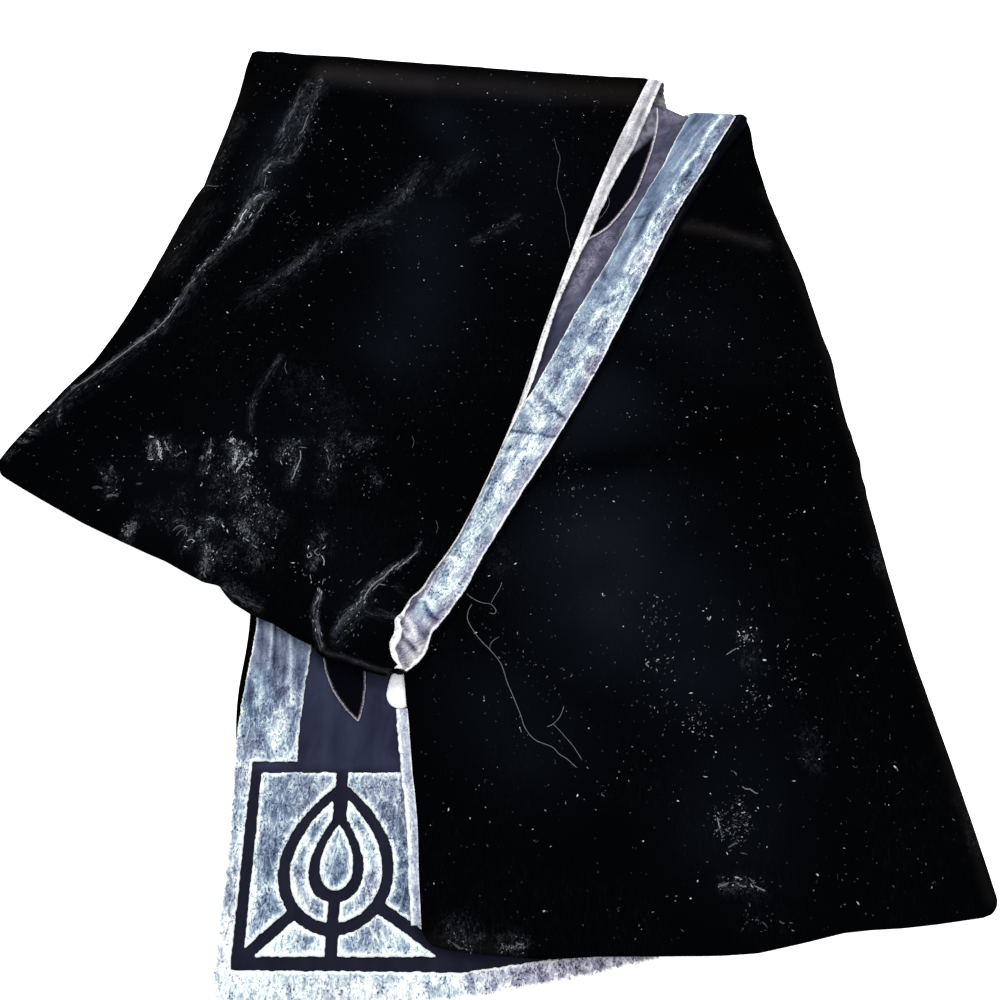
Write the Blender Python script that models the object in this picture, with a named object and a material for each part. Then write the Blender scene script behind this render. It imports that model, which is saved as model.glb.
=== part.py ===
"""An evening stole of velvet on satin, lined with black velvet, folded and laid on a flat surface.

Run with: blender --background --python part.py

Metres, +Z up. The origin is the middle of the stole's bounding box, on the surface that it lies on.
The stole is doubled across its middle, and its doubled upper half is turned over down to the left, so
four stretches lie on each other. From the bottom up they are the under stretch (face up), the upper
stretch (lining up), the turned stretch (face up) and the neck stretch (lining up). Each hangs on the
one before it in the length of the cloth by a rounded fold.
"""

import math
from collections import namedtuple

import bmesh
import bpy
from mathutils import Vector

# The stole's width, which strips and borders are shares of
STOLE_WIDTH = 0.260

# Plies and gaps
LINING = 0.0012  # black velvet
GROUND = 0.0010  # navy satin
PILE = 0.0010  # velvet left standing on the satin
SEAM_GAP = 0.0003
REST_GAP = 0.0004
FACED = LINING + GROUND + PILE + 2 * SEAM_GAP  # a stretch whose face is seen
LINED = 0.0026  # a stretch seen from its lining, its plies in one wall
CELL = 0.0155  # side of the walls' grid

# How one stretch bends over the edge of another
SNUG = 0.006
DRAPE = 0.060
CREASE_ENDS = 2.6  # in reaches, where a crease has run out
TURN_STEPS = (30, 60, 90, 120, 150, 180)  # degrees around a fold

# Borders, trims and small pieces
BORDER = 0.030
CHANNEL = 0.0055
HEM_CORNER = 0.008
FOLD_CORNER = 0.004
EDGE_ROUND = 0.0006
HEM_CORNER_STEPS = (0.12, 0.4)
PIPING = 0.0050
LABEL = 0.0010  # its thickness

# Moves the tables' middle to the middle of the bounding box
CENTRING = (-0.0013, 0.0043)

Place = namedtuple("Place", "x y")
Section = namedtuple("Section", "left_x left_y right_x right_y")
Station = namedtuple("Station", "along angle")
Bend = namedtuple("Bend", "below reach")
Crease = namedtuple("Crease", "order height reach points")
Width = namedtuple("Width", "along width")
Leaf = namedtuple("Leaf", "base tip half_width")

# The folds, as the lines where the cloth begins to turn
OUTER_FOLD = Section(-0.146, 0.297, 0.127, 0.262)
INNER_FOLD = Section(-0.069, 0.265, 0.189, 0.233)
NECK_FOLD = Section(-0.2535, -0.034, -0.024, -0.153)
OUTER_BOW = -0.004  # below 0 it dips inwards
NECK_BOW = 0.004
HEM_BOW = 0.012
BOW_REACH = 0.09
BOW_SKEW = 0.8  # below 1 a bow is deepest left of the middle

UNDER_SECTIONS = [
    Section(-0.102, -0.307, 0.156, -0.276),
    Section(-0.101, -0.245, 0.157, -0.225),
    Section(-0.103, -0.185, 0.157, -0.170),
    Section(-0.100, -0.125, 0.156, -0.110),
    Section(-0.107, -0.060, 0.153, -0.045),
    Section(-0.127, 0.120, 0.142, 0.110),
    OUTER_FOLD,
]
UPPER_SECTIONS = [
    INNER_FOLD,
    Section(-0.057, 0.160, 0.206, 0.146),
    Section(-0.045, 0.060, 0.220, 0.060),
    Section(-0.035, -0.040, 0.229, -0.040),
    Section(-0.022, -0.140, 0.238, -0.135),
    Section(-0.009, -0.225, 0.251, -0.218),
    Section(-0.006, -0.284, 0.258, -0.269),
]
TURNED_SECTIONS = [
    NECK_FOLD,
    Section(-0.241, -0.014, -0.009, -0.137),
    Section(-0.214, 0.029, 0.010, -0.107),
    Section(-0.178, 0.088, 0.050, -0.029),
    Section(-0.141, 0.148, 0.086, 0.042),
    Section(-0.105, 0.207, 0.133, 0.137),
    INNER_FOLD,
]
NECK_SECTIONS = [
    OUTER_FOLD,
    Section(-0.155, 0.235, 0.104, 0.208),
    Section(-0.171, 0.165, 0.078, 0.136),
    Section(-0.190, 0.098, 0.056, 0.068),
    Section(-0.206, 0.050, 0.034, -0.004),
    Section(-0.227, 0.013, 0.010, -0.066),
    Section(-0.239, -0.008, -0.013, -0.111),
    Section(-0.246, -0.020, -0.027, -0.131),
    NECK_FOLD,
]

# Soft ridges of the cloth. A stretch that lies higher takes them on too.
CREASES = [
    Crease(1, 0.0030, 0.011, [(0.182, 0.158), (0.205, 0.150)]),
    Crease(1, 0.0030, 0.012, [(0.200, 0.034), (0.232, 0.040)]),
    Crease(1, 0.0034, 0.012, [(0.196, -0.018), (0.240, -0.028)]),
    Crease(1, 0.0022, 0.017, [(0.100, -0.072), (0.150, -0.066), (0.190, -0.076)]),
    Crease(3, 0.0030, 0.018, [(-0.104, 0.262), (-0.134, 0.143), (-0.170, 0.066), (-0.226, -0.006)]),
    Crease(3, 0.0022, 0.015, [(-0.046, 0.135), (-0.085, 0.119), (-0.124, 0.083)]),
    Crease(3, 0.0032, 0.013, [(-0.016, -0.090), (-0.042, -0.114), (-0.056, -0.142)]),
    Crease(3, 0.0026, 0.012, [(-0.078, -0.090), (-0.080, -0.128)]),
    Crease(3, 0.0028, 0.016, [(-0.146, 0.284), (0.127, 0.257)]),
    Crease(3, 0.0022, 0.016, [(-0.244, -0.024), (-0.134, -0.092), (-0.028, -0.142)]),
]

# How far the silver edge rolls out past the lining, along each stretch that is seen from its lining
NECK_TRIM_WIDTHS = [
    Width(0.00, 0.0092),
    Width(0.20, 0.0080),
    Width(0.42, 0.0040),
    Width(0.66, 0.0016),
    Width(0.86, 0.0014),
    Width(0.95, 0.0046),
    Width(1.00, 0.0030),
]
UPPER_TRIM_WIDTHS = [Width(0.00, 0.0050), Width(0.80, 0.0052), Width(1.00, 0.0036)]
UPPER_TRIM_START, UPPER_TRIM_END = 0.80, 0.985
PIPING_WIDTHS = [Width(0.00, 0.0012), Width(0.45, 0.0016), Width(0.62, PIPING), Width(1.00, PIPING)]

# The lining shows beyond the under stretch's left border from here up
LINING_PEEK = 0.0042
PEEK_START, PEEK_RISE = -0.20, 0.08

# The drop ornament of the end square
DROP_CENTRE = (-0.050, -0.254)
DROP_BODY = 0.0205  # radius of its round part
DROP_TIP = 0.0180  # how much further its point reaches
DROP_POINT = 0.55  # how fast the point widens, in radians
DROP_RING = 0.0088
SQUARE_LEFT, SQUARE_RIGHT = -0.0895, 0.0040
SQUARE_BOTTOM, SQUARE_TOP = -0.2890, -0.2055
ARC_STEP = math.radians(9)
DROP_SPLIT = 0.02  # radians between straight up and where its two rings start
AXIS_SPLIT = 0.001

# The end border, under the end square
HEM_BORDER_END = 0.100
HEM_BORDER_TOP = [Place(0.100, -0.2850), Place(0.050, -0.2900), Place(0.010, -0.2955)]
HEM_INSET = 0.0008

# Leaves on the satin
LEAF_FULLNESS = 0.8
UNDER_LEAF = Leaf((-0.062, -0.120), (-0.044, -0.180), 0.010)
TURNED_LEAF_START, TURNED_LEAF_END = 0.70, 0.97
TURNED_LEAF_ACROSS, TURNED_LEAF_HALF = 0.79, 0.055

LABEL_OUTLINE = [
    Place(-0.0195, -0.1500),
    Place(-0.0195, -0.1750),
    Place(-0.0264, -0.1750),
    Place(-0.0304, -0.1712),
    Place(-0.0310, -0.1650),
    Place(-0.0287, -0.1500),
]

FINISHES = {
    "black_velvet": ((0.006, 0.006, 0.009), 0.95),
    "navy_satin": ((0.030, 0.030, 0.060), 0.45),
    "silver_velvet": ((0.36, 0.42, 0.52), 0.60),
    "label_tape": ((0.80, 0.80, 0.80), 0.80),
}


def hermite(marks, values, at):
    """The value at a mark, on a smooth curve through a table's rows."""
    last = len(marks) - 1
    slopes = []
    for row in range(last + 1):
        before, after = max(row - 1, 0), min(row + 1, last)
        slopes.append((values[after] - values[before]) / (marks[after] - marks[before]))
    row = 0
    while row < last - 1 and at > marks[row + 1]:
        row += 1
    step = marks[row + 1] - marks[row]
    t = (at - marks[row]) / step
    return (
        (2 * t**3 - 3 * t**2 + 1) * values[row]
        + (t**3 - 2 * t**2 + t) * step * slopes[row]
        + (3 * t**2 - 2 * t**3) * values[row + 1]
        + (t**3 - t**2) * step * slopes[row + 1]
    )


def smooth(share):
    """Eases 0 to 1."""
    share = min(max(share, 0.0), 1.0)
    return share * share * (3 - 2 * share)


def distance_to_line(x, y, points):
    """How far a place is from an open line of points."""
    nearest = math.inf
    for (x0, y0), (x1, y1) in zip(points, points[1:]):
        run_x, run_y = x1 - x0, y1 - y0
        share = ((x - x0) * run_x + (y - y0) * run_y) / (run_x**2 + run_y**2)
        share = min(max(share, 0.0), 1.0)
        nearest = min(nearest, math.hypot(x - x0 - share * run_x, y - y0 - share * run_y))
    return nearest


def inside(x, y, outline):
    """Whether a place is inside a closed outline."""
    crossings = 0
    for (x0, y0), (x1, y1) in zip(outline, outline[1:] + outline[:1]):
        if (y0 > y) != (y1 > y) and x < x0 + (y - y0) * (x1 - x0) / (y1 - y0):
            crossings += 1
    return crossings % 2 == 1


class Stretch:
    """One length of the stole between two folds, or between a fold and a hem."""

    def __init__(self, order, thickness, sections, bows=(0.0, 0.0), hem=None, bends=()):
        self.order = order
        self.thickness = thickness
        self.bows = bows
        self.hem = hem
        self.bends = dict(bends)
        self.columns = [list(column) for column in zip(*sections)]
        middles = [((s.left_x + s.right_x) / 2, (s.left_y + s.right_y) / 2) for s in sections]
        steps = [math.dist(a, b) for a, b in zip(middles, middles[1:])]
        self.length = sum(steps)
        self.marks = [sum(steps[:row]) / self.length for row in range(len(sections))]
        sides = [i / 12 for i in range(13)]
        self.outline = [self.plan(along, 0.0) for along in sides]
        self.outline += [self.plan(along, 1.0) for along in reversed(sides)]

    def section(self, along):
        """Both edges at a share of the stretch's length."""
        return Section(*(hermite(self.marks, column, along) for column in self.columns))

    def outward(self, end):
        """The level direction that leaves the stretch square to its end."""
        here, inner = self.section(end), self.section(0.5)
        out = Vector((here.left_y - here.right_y, here.right_x - here.left_x)).normalized()
        middle = Vector((here.left_x + here.right_x, here.left_y + here.right_y))
        inward = Vector((inner.left_x + inner.right_x, inner.left_y + inner.right_y)) - middle
        return -out if out.dot(inward) > 0 else out

    def plan(self, along, across):
        """A place seen from above, from the shares of the stretch's length and width."""
        here = self.section(along)
        width = math.hypot(here.right_x - here.left_x, here.right_y - here.left_y)
        if self.hem is not None:
            to_hem = abs(along - self.hem) * self.length
            short = max(HEM_CORNER - to_hem, 0.0)
            inset = (HEM_CORNER - math.sqrt(HEM_CORNER**2 - short**2)) / width
            across = inset + across * (1 - 2 * inset)
        x = here.left_x + across * (here.right_x - here.left_x)
        y = here.left_y + across * (here.right_y - here.left_y)
        for end, bow in enumerate(self.bows):
            if bow:
                swell = bow * math.sin(math.pi * min(max(across, 0.0), 1.0) ** BOW_SKEW)
                swell *= smooth(1 - abs(along - end) * self.length / BOW_REACH)
                out = self.outward(end)
                x, y = x + out.x * swell, y + out.y * swell
        return x, y


UNDER = Stretch(0, FACED, UNDER_SECTIONS, bows=(HEM_BOW, OUTER_BOW), hem=0)
UPPER = Stretch(1, LINED, UPPER_SECTIONS, bows=(0.0, HEM_BOW), hem=1)
TURNED = Stretch(2, FACED, TURNED_SECTIONS, bows=(NECK_BOW, 0.0), bends=[(1, Bend(UPPER, 0.0010))])
NECK = Stretch(
    3,
    LINED,
    NECK_SECTIONS,
    bows=(OUTER_BOW, NECK_BOW),
    bends=[(0, Bend(UNDER, 0.0035)), (1, Bend(TURNED, 0.0014))],
)
STACK = [UNDER, UPPER, TURNED, NECK]


def cover(stretch, x, y):
    """1 on a stretch and just around it, falling smoothly to 0 where higher cloth reaches the floor."""
    if inside(x, y, stretch.outline):
        return 1.0
    away = distance_to_line(x, y, stretch.outline + stretch.outline[:1])
    return smooth(1 - (away - SNUG) / DRAPE)


def rest_height(order, x, y):
    """The underside of a stretch, on those below it and over the creases."""
    height = sum((below.thickness + REST_GAP) * cover(below, x, y) for below in STACK[:order])
    for crease in CREASES:
        if crease.order <= order:
            away = distance_to_line(x, y, crease.points) / crease.reach
            height += crease.height * math.exp(-away * away) if away < CREASE_ENDS else 0.0
    return height


def on_cloth(stretch, station, across, lift):
    """A point of the cloth at a station, a share of its width and a lift off its underside."""
    if station.angle:
        here = stretch.section(station.along)
        width = math.hypot(here.right_x - here.left_x, here.right_y - here.left_y)
        across += (0.5 - across) * 2 * FOLD_CORNER / width * math.sin(station.angle)
    x, y = stretch.plan(station.along, across)
    if not station.angle:
        return Vector((x, y, rest_height(stretch.order, x, y) + lift))
    bend = stretch.bends[station.along]
    out = stretch.outward(station.along) * (bend.reach + lift) * math.sin(station.angle)
    x, y = x + out.x, y + out.y
    upper = rest_height(stretch.order, x, y) + lift
    lower = rest_height(bend.below.order, x, y) + bend.below.thickness * (1 - lift / stretch.thickness)
    return Vector((x, y, (upper + lower) / 2 + (upper - lower) / 2 * math.cos(station.angle)))


def stations(stretch, start=0.0, end=1.0):
    """Stations a cell apart, with those around a fold wherever the stretch is followed to its end."""
    turn = [math.radians(degrees) for degrees in TURN_STEPS]
    seam = SEAM_GAP / stretch.length
    first = start if 0 in stretch.bends or stretch.hem == 0 or start > 0 else seam
    last = end if 1 in stretch.bends or stretch.hem == 1 or end < 1 else 1 - seam
    count = max(round((last - first) * stretch.length / CELL), 2)
    alongs = [first + (last - first) * i / count for i in range(count + 1)]
    if stretch.hem is not None and stretch.hem in (start, end):
        corner = [HEM_CORNER / stretch.length * share for share in HEM_CORNER_STEPS]
        alongs = sorted(alongs + [abs(stretch.hem - step) for step in corner])
    track = [Station(along, 0.0) for along in alongs]
    if start == 0 and 0 in stretch.bends:
        track = [Station(0, angle) for angle in reversed(turn)] + track
    if end == 1 and 1 in stretch.bends:
        track += [Station(1, angle) for angle in turn]
    return track


def collect(name, data, material):
    """Adds an object to the stole's collection."""
    piece = bpy.data.objects.new(name, data)
    piece.location.xy = CENTRING
    data.materials.append(material)
    bpy.data.collections["evening_stole"].objects.link(piece)
    return piece


def wall(name, stretch, track, span, columns, lifts, material):
    """A closed wall that follows a stretch: a loft between its underside and its upper side.

    span gives the two shares of the width that the wall lies between, for a share of the length, and
    lifts are the heights of its two sides off the stretch's underside. Its long edges are rounded.
    """
    mesh = bmesh.new()
    layers = []
    for lift in lifts:
        rows = []
        for station in track:
            left, right = span(station.along)
            acrosses = [left + (right - left) * i / columns for i in range(columns + 1)]
            points = [on_cloth(stretch, station, across, lift) for across in acrosses]
            rows.append([mesh.verts.new(point) for point in points])
        layers.append(rows)
    low, high = layers
    for r in range(len(track) - 1):
        for c in range(columns):
            for grid in (low, high):
                mesh.faces.new((grid[r][c], grid[r][c + 1], grid[r + 1][c + 1], grid[r + 1][c]))
    rims = []
    for side, inner in ((0, 1), (-1, -2)):
        rim = []
        for r in range(len(track)):
            middle = (low[r][side].co + high[r][side].co) / 2
            away = middle - (low[r][inner].co + high[r][inner].co) / 2
            rim.append(mesh.verts.new(middle + away.normalized() * EDGE_ROUND))
        for r in range(len(track) - 1):
            for grid in (low, high):
                mesh.faces.new((grid[r][side], grid[r + 1][side], rim[r + 1], rim[r]))
        rims.append(rim)
    for r in (0, -1):
        for c in range(columns):
            mesh.faces.new((low[r][c], low[r][c + 1], high[r][c + 1], high[r][c]))
        mesh.faces.new((rims[0][r], low[r][0], high[r][0]))
        mesh.faces.new((rims[1][r], low[r][-1], high[r][-1]))
    bmesh.ops.recalc_face_normals(mesh, faces=mesh.faces)
    data = bpy.data.meshes.new(name)
    mesh.to_mesh(data)
    mesh.free()
    return collect(name, data, material)


def flat_piece(name, outline, low, thickness, material):
    """A flat piece of cloth, cut to an outline and laid level."""
    mesh = bmesh.new()
    under = [mesh.verts.new((x, y, low)) for x, y in outline]
    over = [mesh.verts.new((x, y, low + thickness)) for x, y in outline]
    mesh.faces.new(under)
    mesh.faces.new(over)
    for i, vertex in enumerate(under):
        mesh.faces.new((under[i - 1], vertex, over[i], over[i - 1]))
    bmesh.ops.triangulate(mesh, faces=mesh.faces)
    bmesh.ops.recalc_face_normals(mesh, faces=mesh.faces)
    data = bpy.data.meshes.new(name)
    mesh.to_mesh(data)
    mesh.free()
    return collect(name, data, material)


def whole_width(_along):
    return 0.0, 1.0


def edge_strip(table, beyond_right):
    """The span of a strip outside one long edge, its width read from a table."""
    gap = SEAM_GAP + 2 * EDGE_ROUND
    marks, widths = [row.along for row in table], [row.width for row in table]

    def span(along):
        near = gap / STOLE_WIDTH
        far = near + hermite(marks, widths, along) / STOLE_WIDTH
        return (1 + near, 1 + far) if beyond_right else (-far, -near)

    return span


def polar(radius, angle):
    """A place around the drop's centre, the angle taken from straight up, clockwise."""
    return DROP_CENTRE[0] + radius * math.sin(angle), DROP_CENTRE[1] + radius * math.cos(angle)


def drop_radius(angle):
    """The drop's outer edge: a round body with a point at the top."""
    return DROP_BODY + DROP_TIP * math.exp(-abs(angle) / DROP_POINT)


def square_radius(angle):
    """How far the end square's edge is from the drop's centre."""
    across, up = math.sin(angle), math.cos(angle)
    side = (SQUARE_RIGHT if across > 0 else SQUARE_LEFT) - DROP_CENTRE[0]
    end = (SQUARE_TOP if up > 0 else SQUARE_BOTTOM) - DROP_CENTRE[1]
    reach = [side / across] if abs(across) > 1e-6 else []
    reach += [end / up] if abs(up) > 1e-6 else []
    return min(reach)


def square_corners():
    """The angles of the end square's corners."""
    found = []
    for x in (SQUARE_LEFT, SQUARE_RIGHT):
        for y in (SQUARE_BOTTOM, SQUARE_TOP):
            found.append(math.atan2(x - DROP_CENTRE[0], y - DROP_CENTRE[1]))
    return found


def ring_piece(name, inner, outer, start, end, material):
    """A piece of velvet between two outlines around the drop, with a channel's half at each end."""
    steps = max(round(abs(end - start) / ARC_STEP), 4)
    angles = [start + (end - start) * i / steps for i in range(steps + 1)]
    corners = [a for a in square_corners() if min(start, end) < a < max(start, end)]
    outer_angles = sorted(angles + corners, reverse=end < start)
    half = CHANNEL / 2

    def trimmed(radius, angle):
        """The place on an outline, kept half a channel away from the cut that bounds the piece."""
        lead = math.asin(min(half / radius, 0.9))
        low, high = min(start, end) + lead, max(start, end) - lead
        return polar(radius, min(max(angle, low), high))

    outline = [trimmed(inner(a), a) for a in angles]
    outline += [trimmed(outer(a), a) for a in reversed(outer_angles)]
    kept = [p for i, p in enumerate(outline) if math.dist(p, outline[i - 1]) > 1e-5]
    return flat_piece(name, kept, FACED - PILE, PILE, material)


def drop_pieces(silver):
    """The end square's velvet: a drop in a ring, on a stem, in a frame cut at its lower corners."""
    heart = DROP_RING + CHANNEL
    count = round(2 * math.pi / ARC_STEP)
    turn = [2 * math.pi * i / count - math.pi for i in range(count)]
    outline = [polar(drop_radius(angle) - heart, angle) for angle in turn]
    flat_piece("drop_heart", outline, FACED - PILE, PILE, silver)
    for name, side in (("left", -1), ("right", 1)):
        ring_piece(
            f"drop_ring_{name}",
            lambda a: drop_radius(a) - DROP_RING,
            drop_radius,
            side * DROP_SPLIT,
            side * (math.pi - AXIS_SPLIT),
            silver,
        )
        low_corner = math.atan2(
            (SQUARE_LEFT if side < 0 else SQUARE_RIGHT) - DROP_CENTRE[0], SQUARE_BOTTOM - DROP_CENTRE[1]
        )
        cuts = (("side", side * AXIS_SPLIT, low_corner), ("foot", low_corner, side * math.pi))
        for place, start, end in cuts:
            ring_piece(
                f"frame_{place}_{name}",
                lambda a: drop_radius(a) + CHANNEL,
                square_radius,
                start,
                end,
                silver,
            )


def under_pieces(black, navy, silver):
    """The under stretch: black lining, navy satin, and silver velvet borders."""
    alongs = [0.0, 0.002, 0.006, 0.014] + [i / 14 for i in range(1, 14)] + [1 - SEAM_GAP / UNDER.length]
    acrosses = [i / 8 for i in range(9)]
    edge = [UNDER.plan(along, 0.0) for along in alongs]
    end = [UNDER.plan(alongs[-1], across) for across in acrosses[1:-1]]
    back = [UNDER.plan(along, 1.0) for along in reversed(alongs)]
    hem = [UNDER.plan(0.0, across) for across in reversed(acrosses[1:-1])]
    ground = edge + end + back + hem
    peeks = [(x - LINING_PEEK * smooth((y - PEEK_START) / PEEK_RISE), y) for x, y in edge]
    flat_piece("under_lining", peeks + end + back + hem, 0.0, LINING, black)
    flat_piece("under_satin", ground, LINING + SEAM_GAP, GROUND, navy)

    border = BORDER / STOLE_WIDTH
    long_side = [UNDER.plan(along, HEM_INSET / STOLE_WIDTH) for along in alongs[:-1]]
    inner_top = [UNDER.plan(along, border) for along in reversed(alongs[:-1])]
    inner_top = [(x, y) for x, y in inner_top if y > SQUARE_TOP + CHANNEL]
    frame_x, frame_y = SQUARE_LEFT - CHANNEL, SQUARE_TOP + CHANNEL
    hem_y = UNDER.plan(0.0, (frame_x - long_side[0][0]) / STOLE_WIDTH)[1] + HEM_INSET
    turn_in = [(inner_top[-1][0], frame_y), (frame_x, frame_y), (frame_x, hem_y)]
    flat_piece("side_border", long_side + inner_top + turn_in, FACED - PILE, PILE, silver)

    hem_line = [UNDER.plan(0.0, across) for across in acrosses]
    hem_line = [(x, y + HEM_INSET) for x, y in hem_line if frame_x + CHANNEL < x < HEM_BORDER_END]
    start_x = frame_x + SEAM_GAP
    start = [(start_x, hem_y)]
    hem_top = [tuple(place) for place in HEM_BORDER_TOP] + [(start_x, SQUARE_BOTTOM - CHANNEL)]
    flat_piece("hem_border", start + hem_line + hem_top, FACED - PILE, PILE, silver)


def fullness(share):
    """A pointed leaf's breadth at a share of its length, as a share of its widest."""
    return math.sin(math.pi * share) ** LEAF_FULLNESS


def leaf_outline(leaf, points=9):
    """A pointed leaf between two places."""
    axis = Vector(leaf.tip) - Vector(leaf.base)
    side = Vector((axis.y, -axis.x)).normalized() * leaf.half_width
    halves = []
    for sign in (1, -1):
        shares = [i / points for i in range(1, points)]
        places = [Vector(leaf.base) + axis * s + side * sign * fullness(s) for s in shares]
        halves.append([tuple(place) for place in places])
    return [leaf.base] + halves[0] + [leaf.tip] + halves[1][::-1]


def main():
    """Builds the stole."""
    for old in list(bpy.data.objects):
        bpy.data.objects.remove(old, do_unlink=True)
    bpy.context.scene.collection.children.link(bpy.data.collections.new("evening_stole"))

    def finish(name, colour, roughness):
        material = bpy.data.materials.new(name)
        material.use_nodes = True
        shader = material.node_tree.nodes["Principled BSDF"]
        shader.inputs["Base Color"].default_value = (*colour, 1.0)
        shader.inputs["Roughness"].default_value = roughness
        shader.inputs["Metallic"].default_value = 0.0
        return material

    black, navy, silver, white = (finish(name, *look) for name, look in FINISHES.items())

    under_pieces(black, navy, silver)
    drop_pieces(silver)
    flat_piece("under_leaf", leaf_outline(UNDER_LEAF), FACED - PILE, PILE, black)

    columns = round(STOLE_WIDTH / CELL)
    through = (0.0, LINED)
    wall("upper_stretch", UPPER, stations(UPPER), whole_width, columns, through, black)
    trim_track = stations(UPPER, UPPER_TRIM_START, UPPER_TRIM_END)
    wall("upper_trim", UPPER, trim_track, edge_strip(UPPER_TRIM_WIDTHS, False), 1, through, silver)
    label = [tuple(place) for place in LABEL_OUTLINE]
    flat_piece("label", label, FACED - PILE + SEAM_GAP, LABEL, white)

    under_pile = (0.0, FACED - PILE - SEAM_GAP)
    pile = (FACED - PILE, FACED)
    wall("turned_stretch", TURNED, stations(TURNED), whole_width, columns, under_pile, navy)

    def border_span(_along):
        return 1 - BORDER / STOLE_WIDTH, 1.0

    def leaf_span(along):
        share = (along - TURNED_LEAF_START) / (TURNED_LEAF_END - TURNED_LEAF_START)
        half = TURNED_LEAF_HALF * fullness(0.04 + 0.92 * min(max(share, 0.0), 1.0))
        return TURNED_LEAF_ACROSS - half, TURNED_LEAF_ACROSS + half

    wall("turned_border", TURNED, stations(TURNED), border_span, 3, pile, silver)
    wall("turned_piping", TURNED, stations(TURNED), edge_strip(PIPING_WIDTHS, True), 1, through, black)
    leaf_track = stations(TURNED, TURNED_LEAF_START, TURNED_LEAF_END)
    wall("turned_leaf", TURNED, leaf_track, leaf_span, 3, pile, black)

    wall("neck_stretch", NECK, stations(NECK), whole_width, columns, through, black)
    wall("neck_trim", NECK, stations(NECK), edge_strip(NECK_TRIM_WIDTHS, True), 1, through, silver)


main()
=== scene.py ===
"""The looks of a folded evening stole: crushed silver velvet on navy satin, lined with black velvet.

Metres, +Z up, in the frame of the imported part. The stole's own tables are repeated from the part's source,
and detail that one view shows is given in pixels of that view and laid on the cloth by the camera's geometry.
"""

import math

import bpy
import numpy as np
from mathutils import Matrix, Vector


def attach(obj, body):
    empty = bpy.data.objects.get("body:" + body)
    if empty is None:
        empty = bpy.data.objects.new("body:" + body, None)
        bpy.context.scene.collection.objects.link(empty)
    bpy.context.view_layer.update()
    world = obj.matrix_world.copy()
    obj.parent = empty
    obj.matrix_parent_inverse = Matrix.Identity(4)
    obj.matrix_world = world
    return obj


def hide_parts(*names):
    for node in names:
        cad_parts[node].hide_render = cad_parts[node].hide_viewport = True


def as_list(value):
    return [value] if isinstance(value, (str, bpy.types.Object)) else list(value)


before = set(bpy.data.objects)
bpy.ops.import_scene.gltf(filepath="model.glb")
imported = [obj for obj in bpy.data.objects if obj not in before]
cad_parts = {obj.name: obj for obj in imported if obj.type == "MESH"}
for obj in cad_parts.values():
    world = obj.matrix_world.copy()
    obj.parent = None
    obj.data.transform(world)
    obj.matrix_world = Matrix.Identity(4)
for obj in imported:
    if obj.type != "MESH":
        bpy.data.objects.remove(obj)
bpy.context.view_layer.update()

# ------------------------------------------------------------------ the stole's own sizes

LINING, GROUND, PILE = 0.0012, 0.0010, 0.0010
SEAM_GAP, REST_GAP = 0.0003, 0.0004
FACED, LINED = LINING + GROUND + PILE + 2 * SEAM_GAP, 0.0026
PILE_LOW = FACED - PILE
STOLE_WIDTH = 0.260
SNUG, DRAPE, CREASE_ENDS = 0.006, 0.060, 2.6
BORDER, CHANNEL, HEM_CORNER, FOLD_CORNER = 0.030, 0.0055, 0.008, 0.004
OUTER_BOW, NECK_BOW, HEM_BOW, BOW_REACH, BOW_SKEW = -0.004, 0.004, 0.012, 0.09, 0.8
CENTRING = (-0.0013, 0.0043)
FRAY_REACH, SIDE_REACH = 0.045, 0.050

# The camera, in the tables' own place
EYE = (0.027, -0.334, 0.5348)
PITCH = math.radians(62.28)
FOCAL, MIDDLE = 1083.0, 500.0  # pixels

OUTER_FOLD = (-0.146, 0.297, 0.127, 0.262)
INNER_FOLD = (-0.069, 0.265, 0.189, 0.233)
NECK_FOLD = (-0.2535, -0.034, -0.024, -0.153)
UNDER_SECTIONS = [
    (-0.102, -0.307, 0.156, -0.276), (-0.101, -0.245, 0.157, -0.225), (-0.103, -0.185, 0.157, -0.17),
    (-0.1, -0.125, 0.156, -0.11), (-0.107, -0.06, 0.153, -0.045), (-0.127, 0.12, 0.142, 0.11), OUTER_FOLD,
]
UPPER_SECTIONS = [
    INNER_FOLD, (-0.057, 0.16, 0.206, 0.146), (-0.045, 0.06, 0.22, 0.06), (-0.035, -0.04, 0.229, -0.04),
    (-0.022, -0.14, 0.238, -0.135), (-0.009, -0.225, 0.251, -0.218), (-0.006, -0.284, 0.258, -0.269),
]
TURNED_SECTIONS = [
    NECK_FOLD, (-0.241, -0.014, -0.009, -0.137), (-0.214, 0.029, 0.01, -0.107), (-0.178, 0.088, 0.05, -0.029),
    (-0.141, 0.148, 0.086, 0.042), (-0.105, 0.207, 0.133, 0.137), INNER_FOLD,
]
NECK_SECTIONS = [
    OUTER_FOLD, (-0.155, 0.235, 0.104, 0.208), (-0.171, 0.165, 0.078, 0.136), (-0.19, 0.098, 0.056, 0.068),
    (-0.206, 0.05, 0.034, -0.004), (-0.227, 0.013, 0.01, -0.066), (-0.239, -0.008, -0.013, -0.111),
    (-0.246, -0.02, -0.027, -0.131), NECK_FOLD,
]
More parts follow.
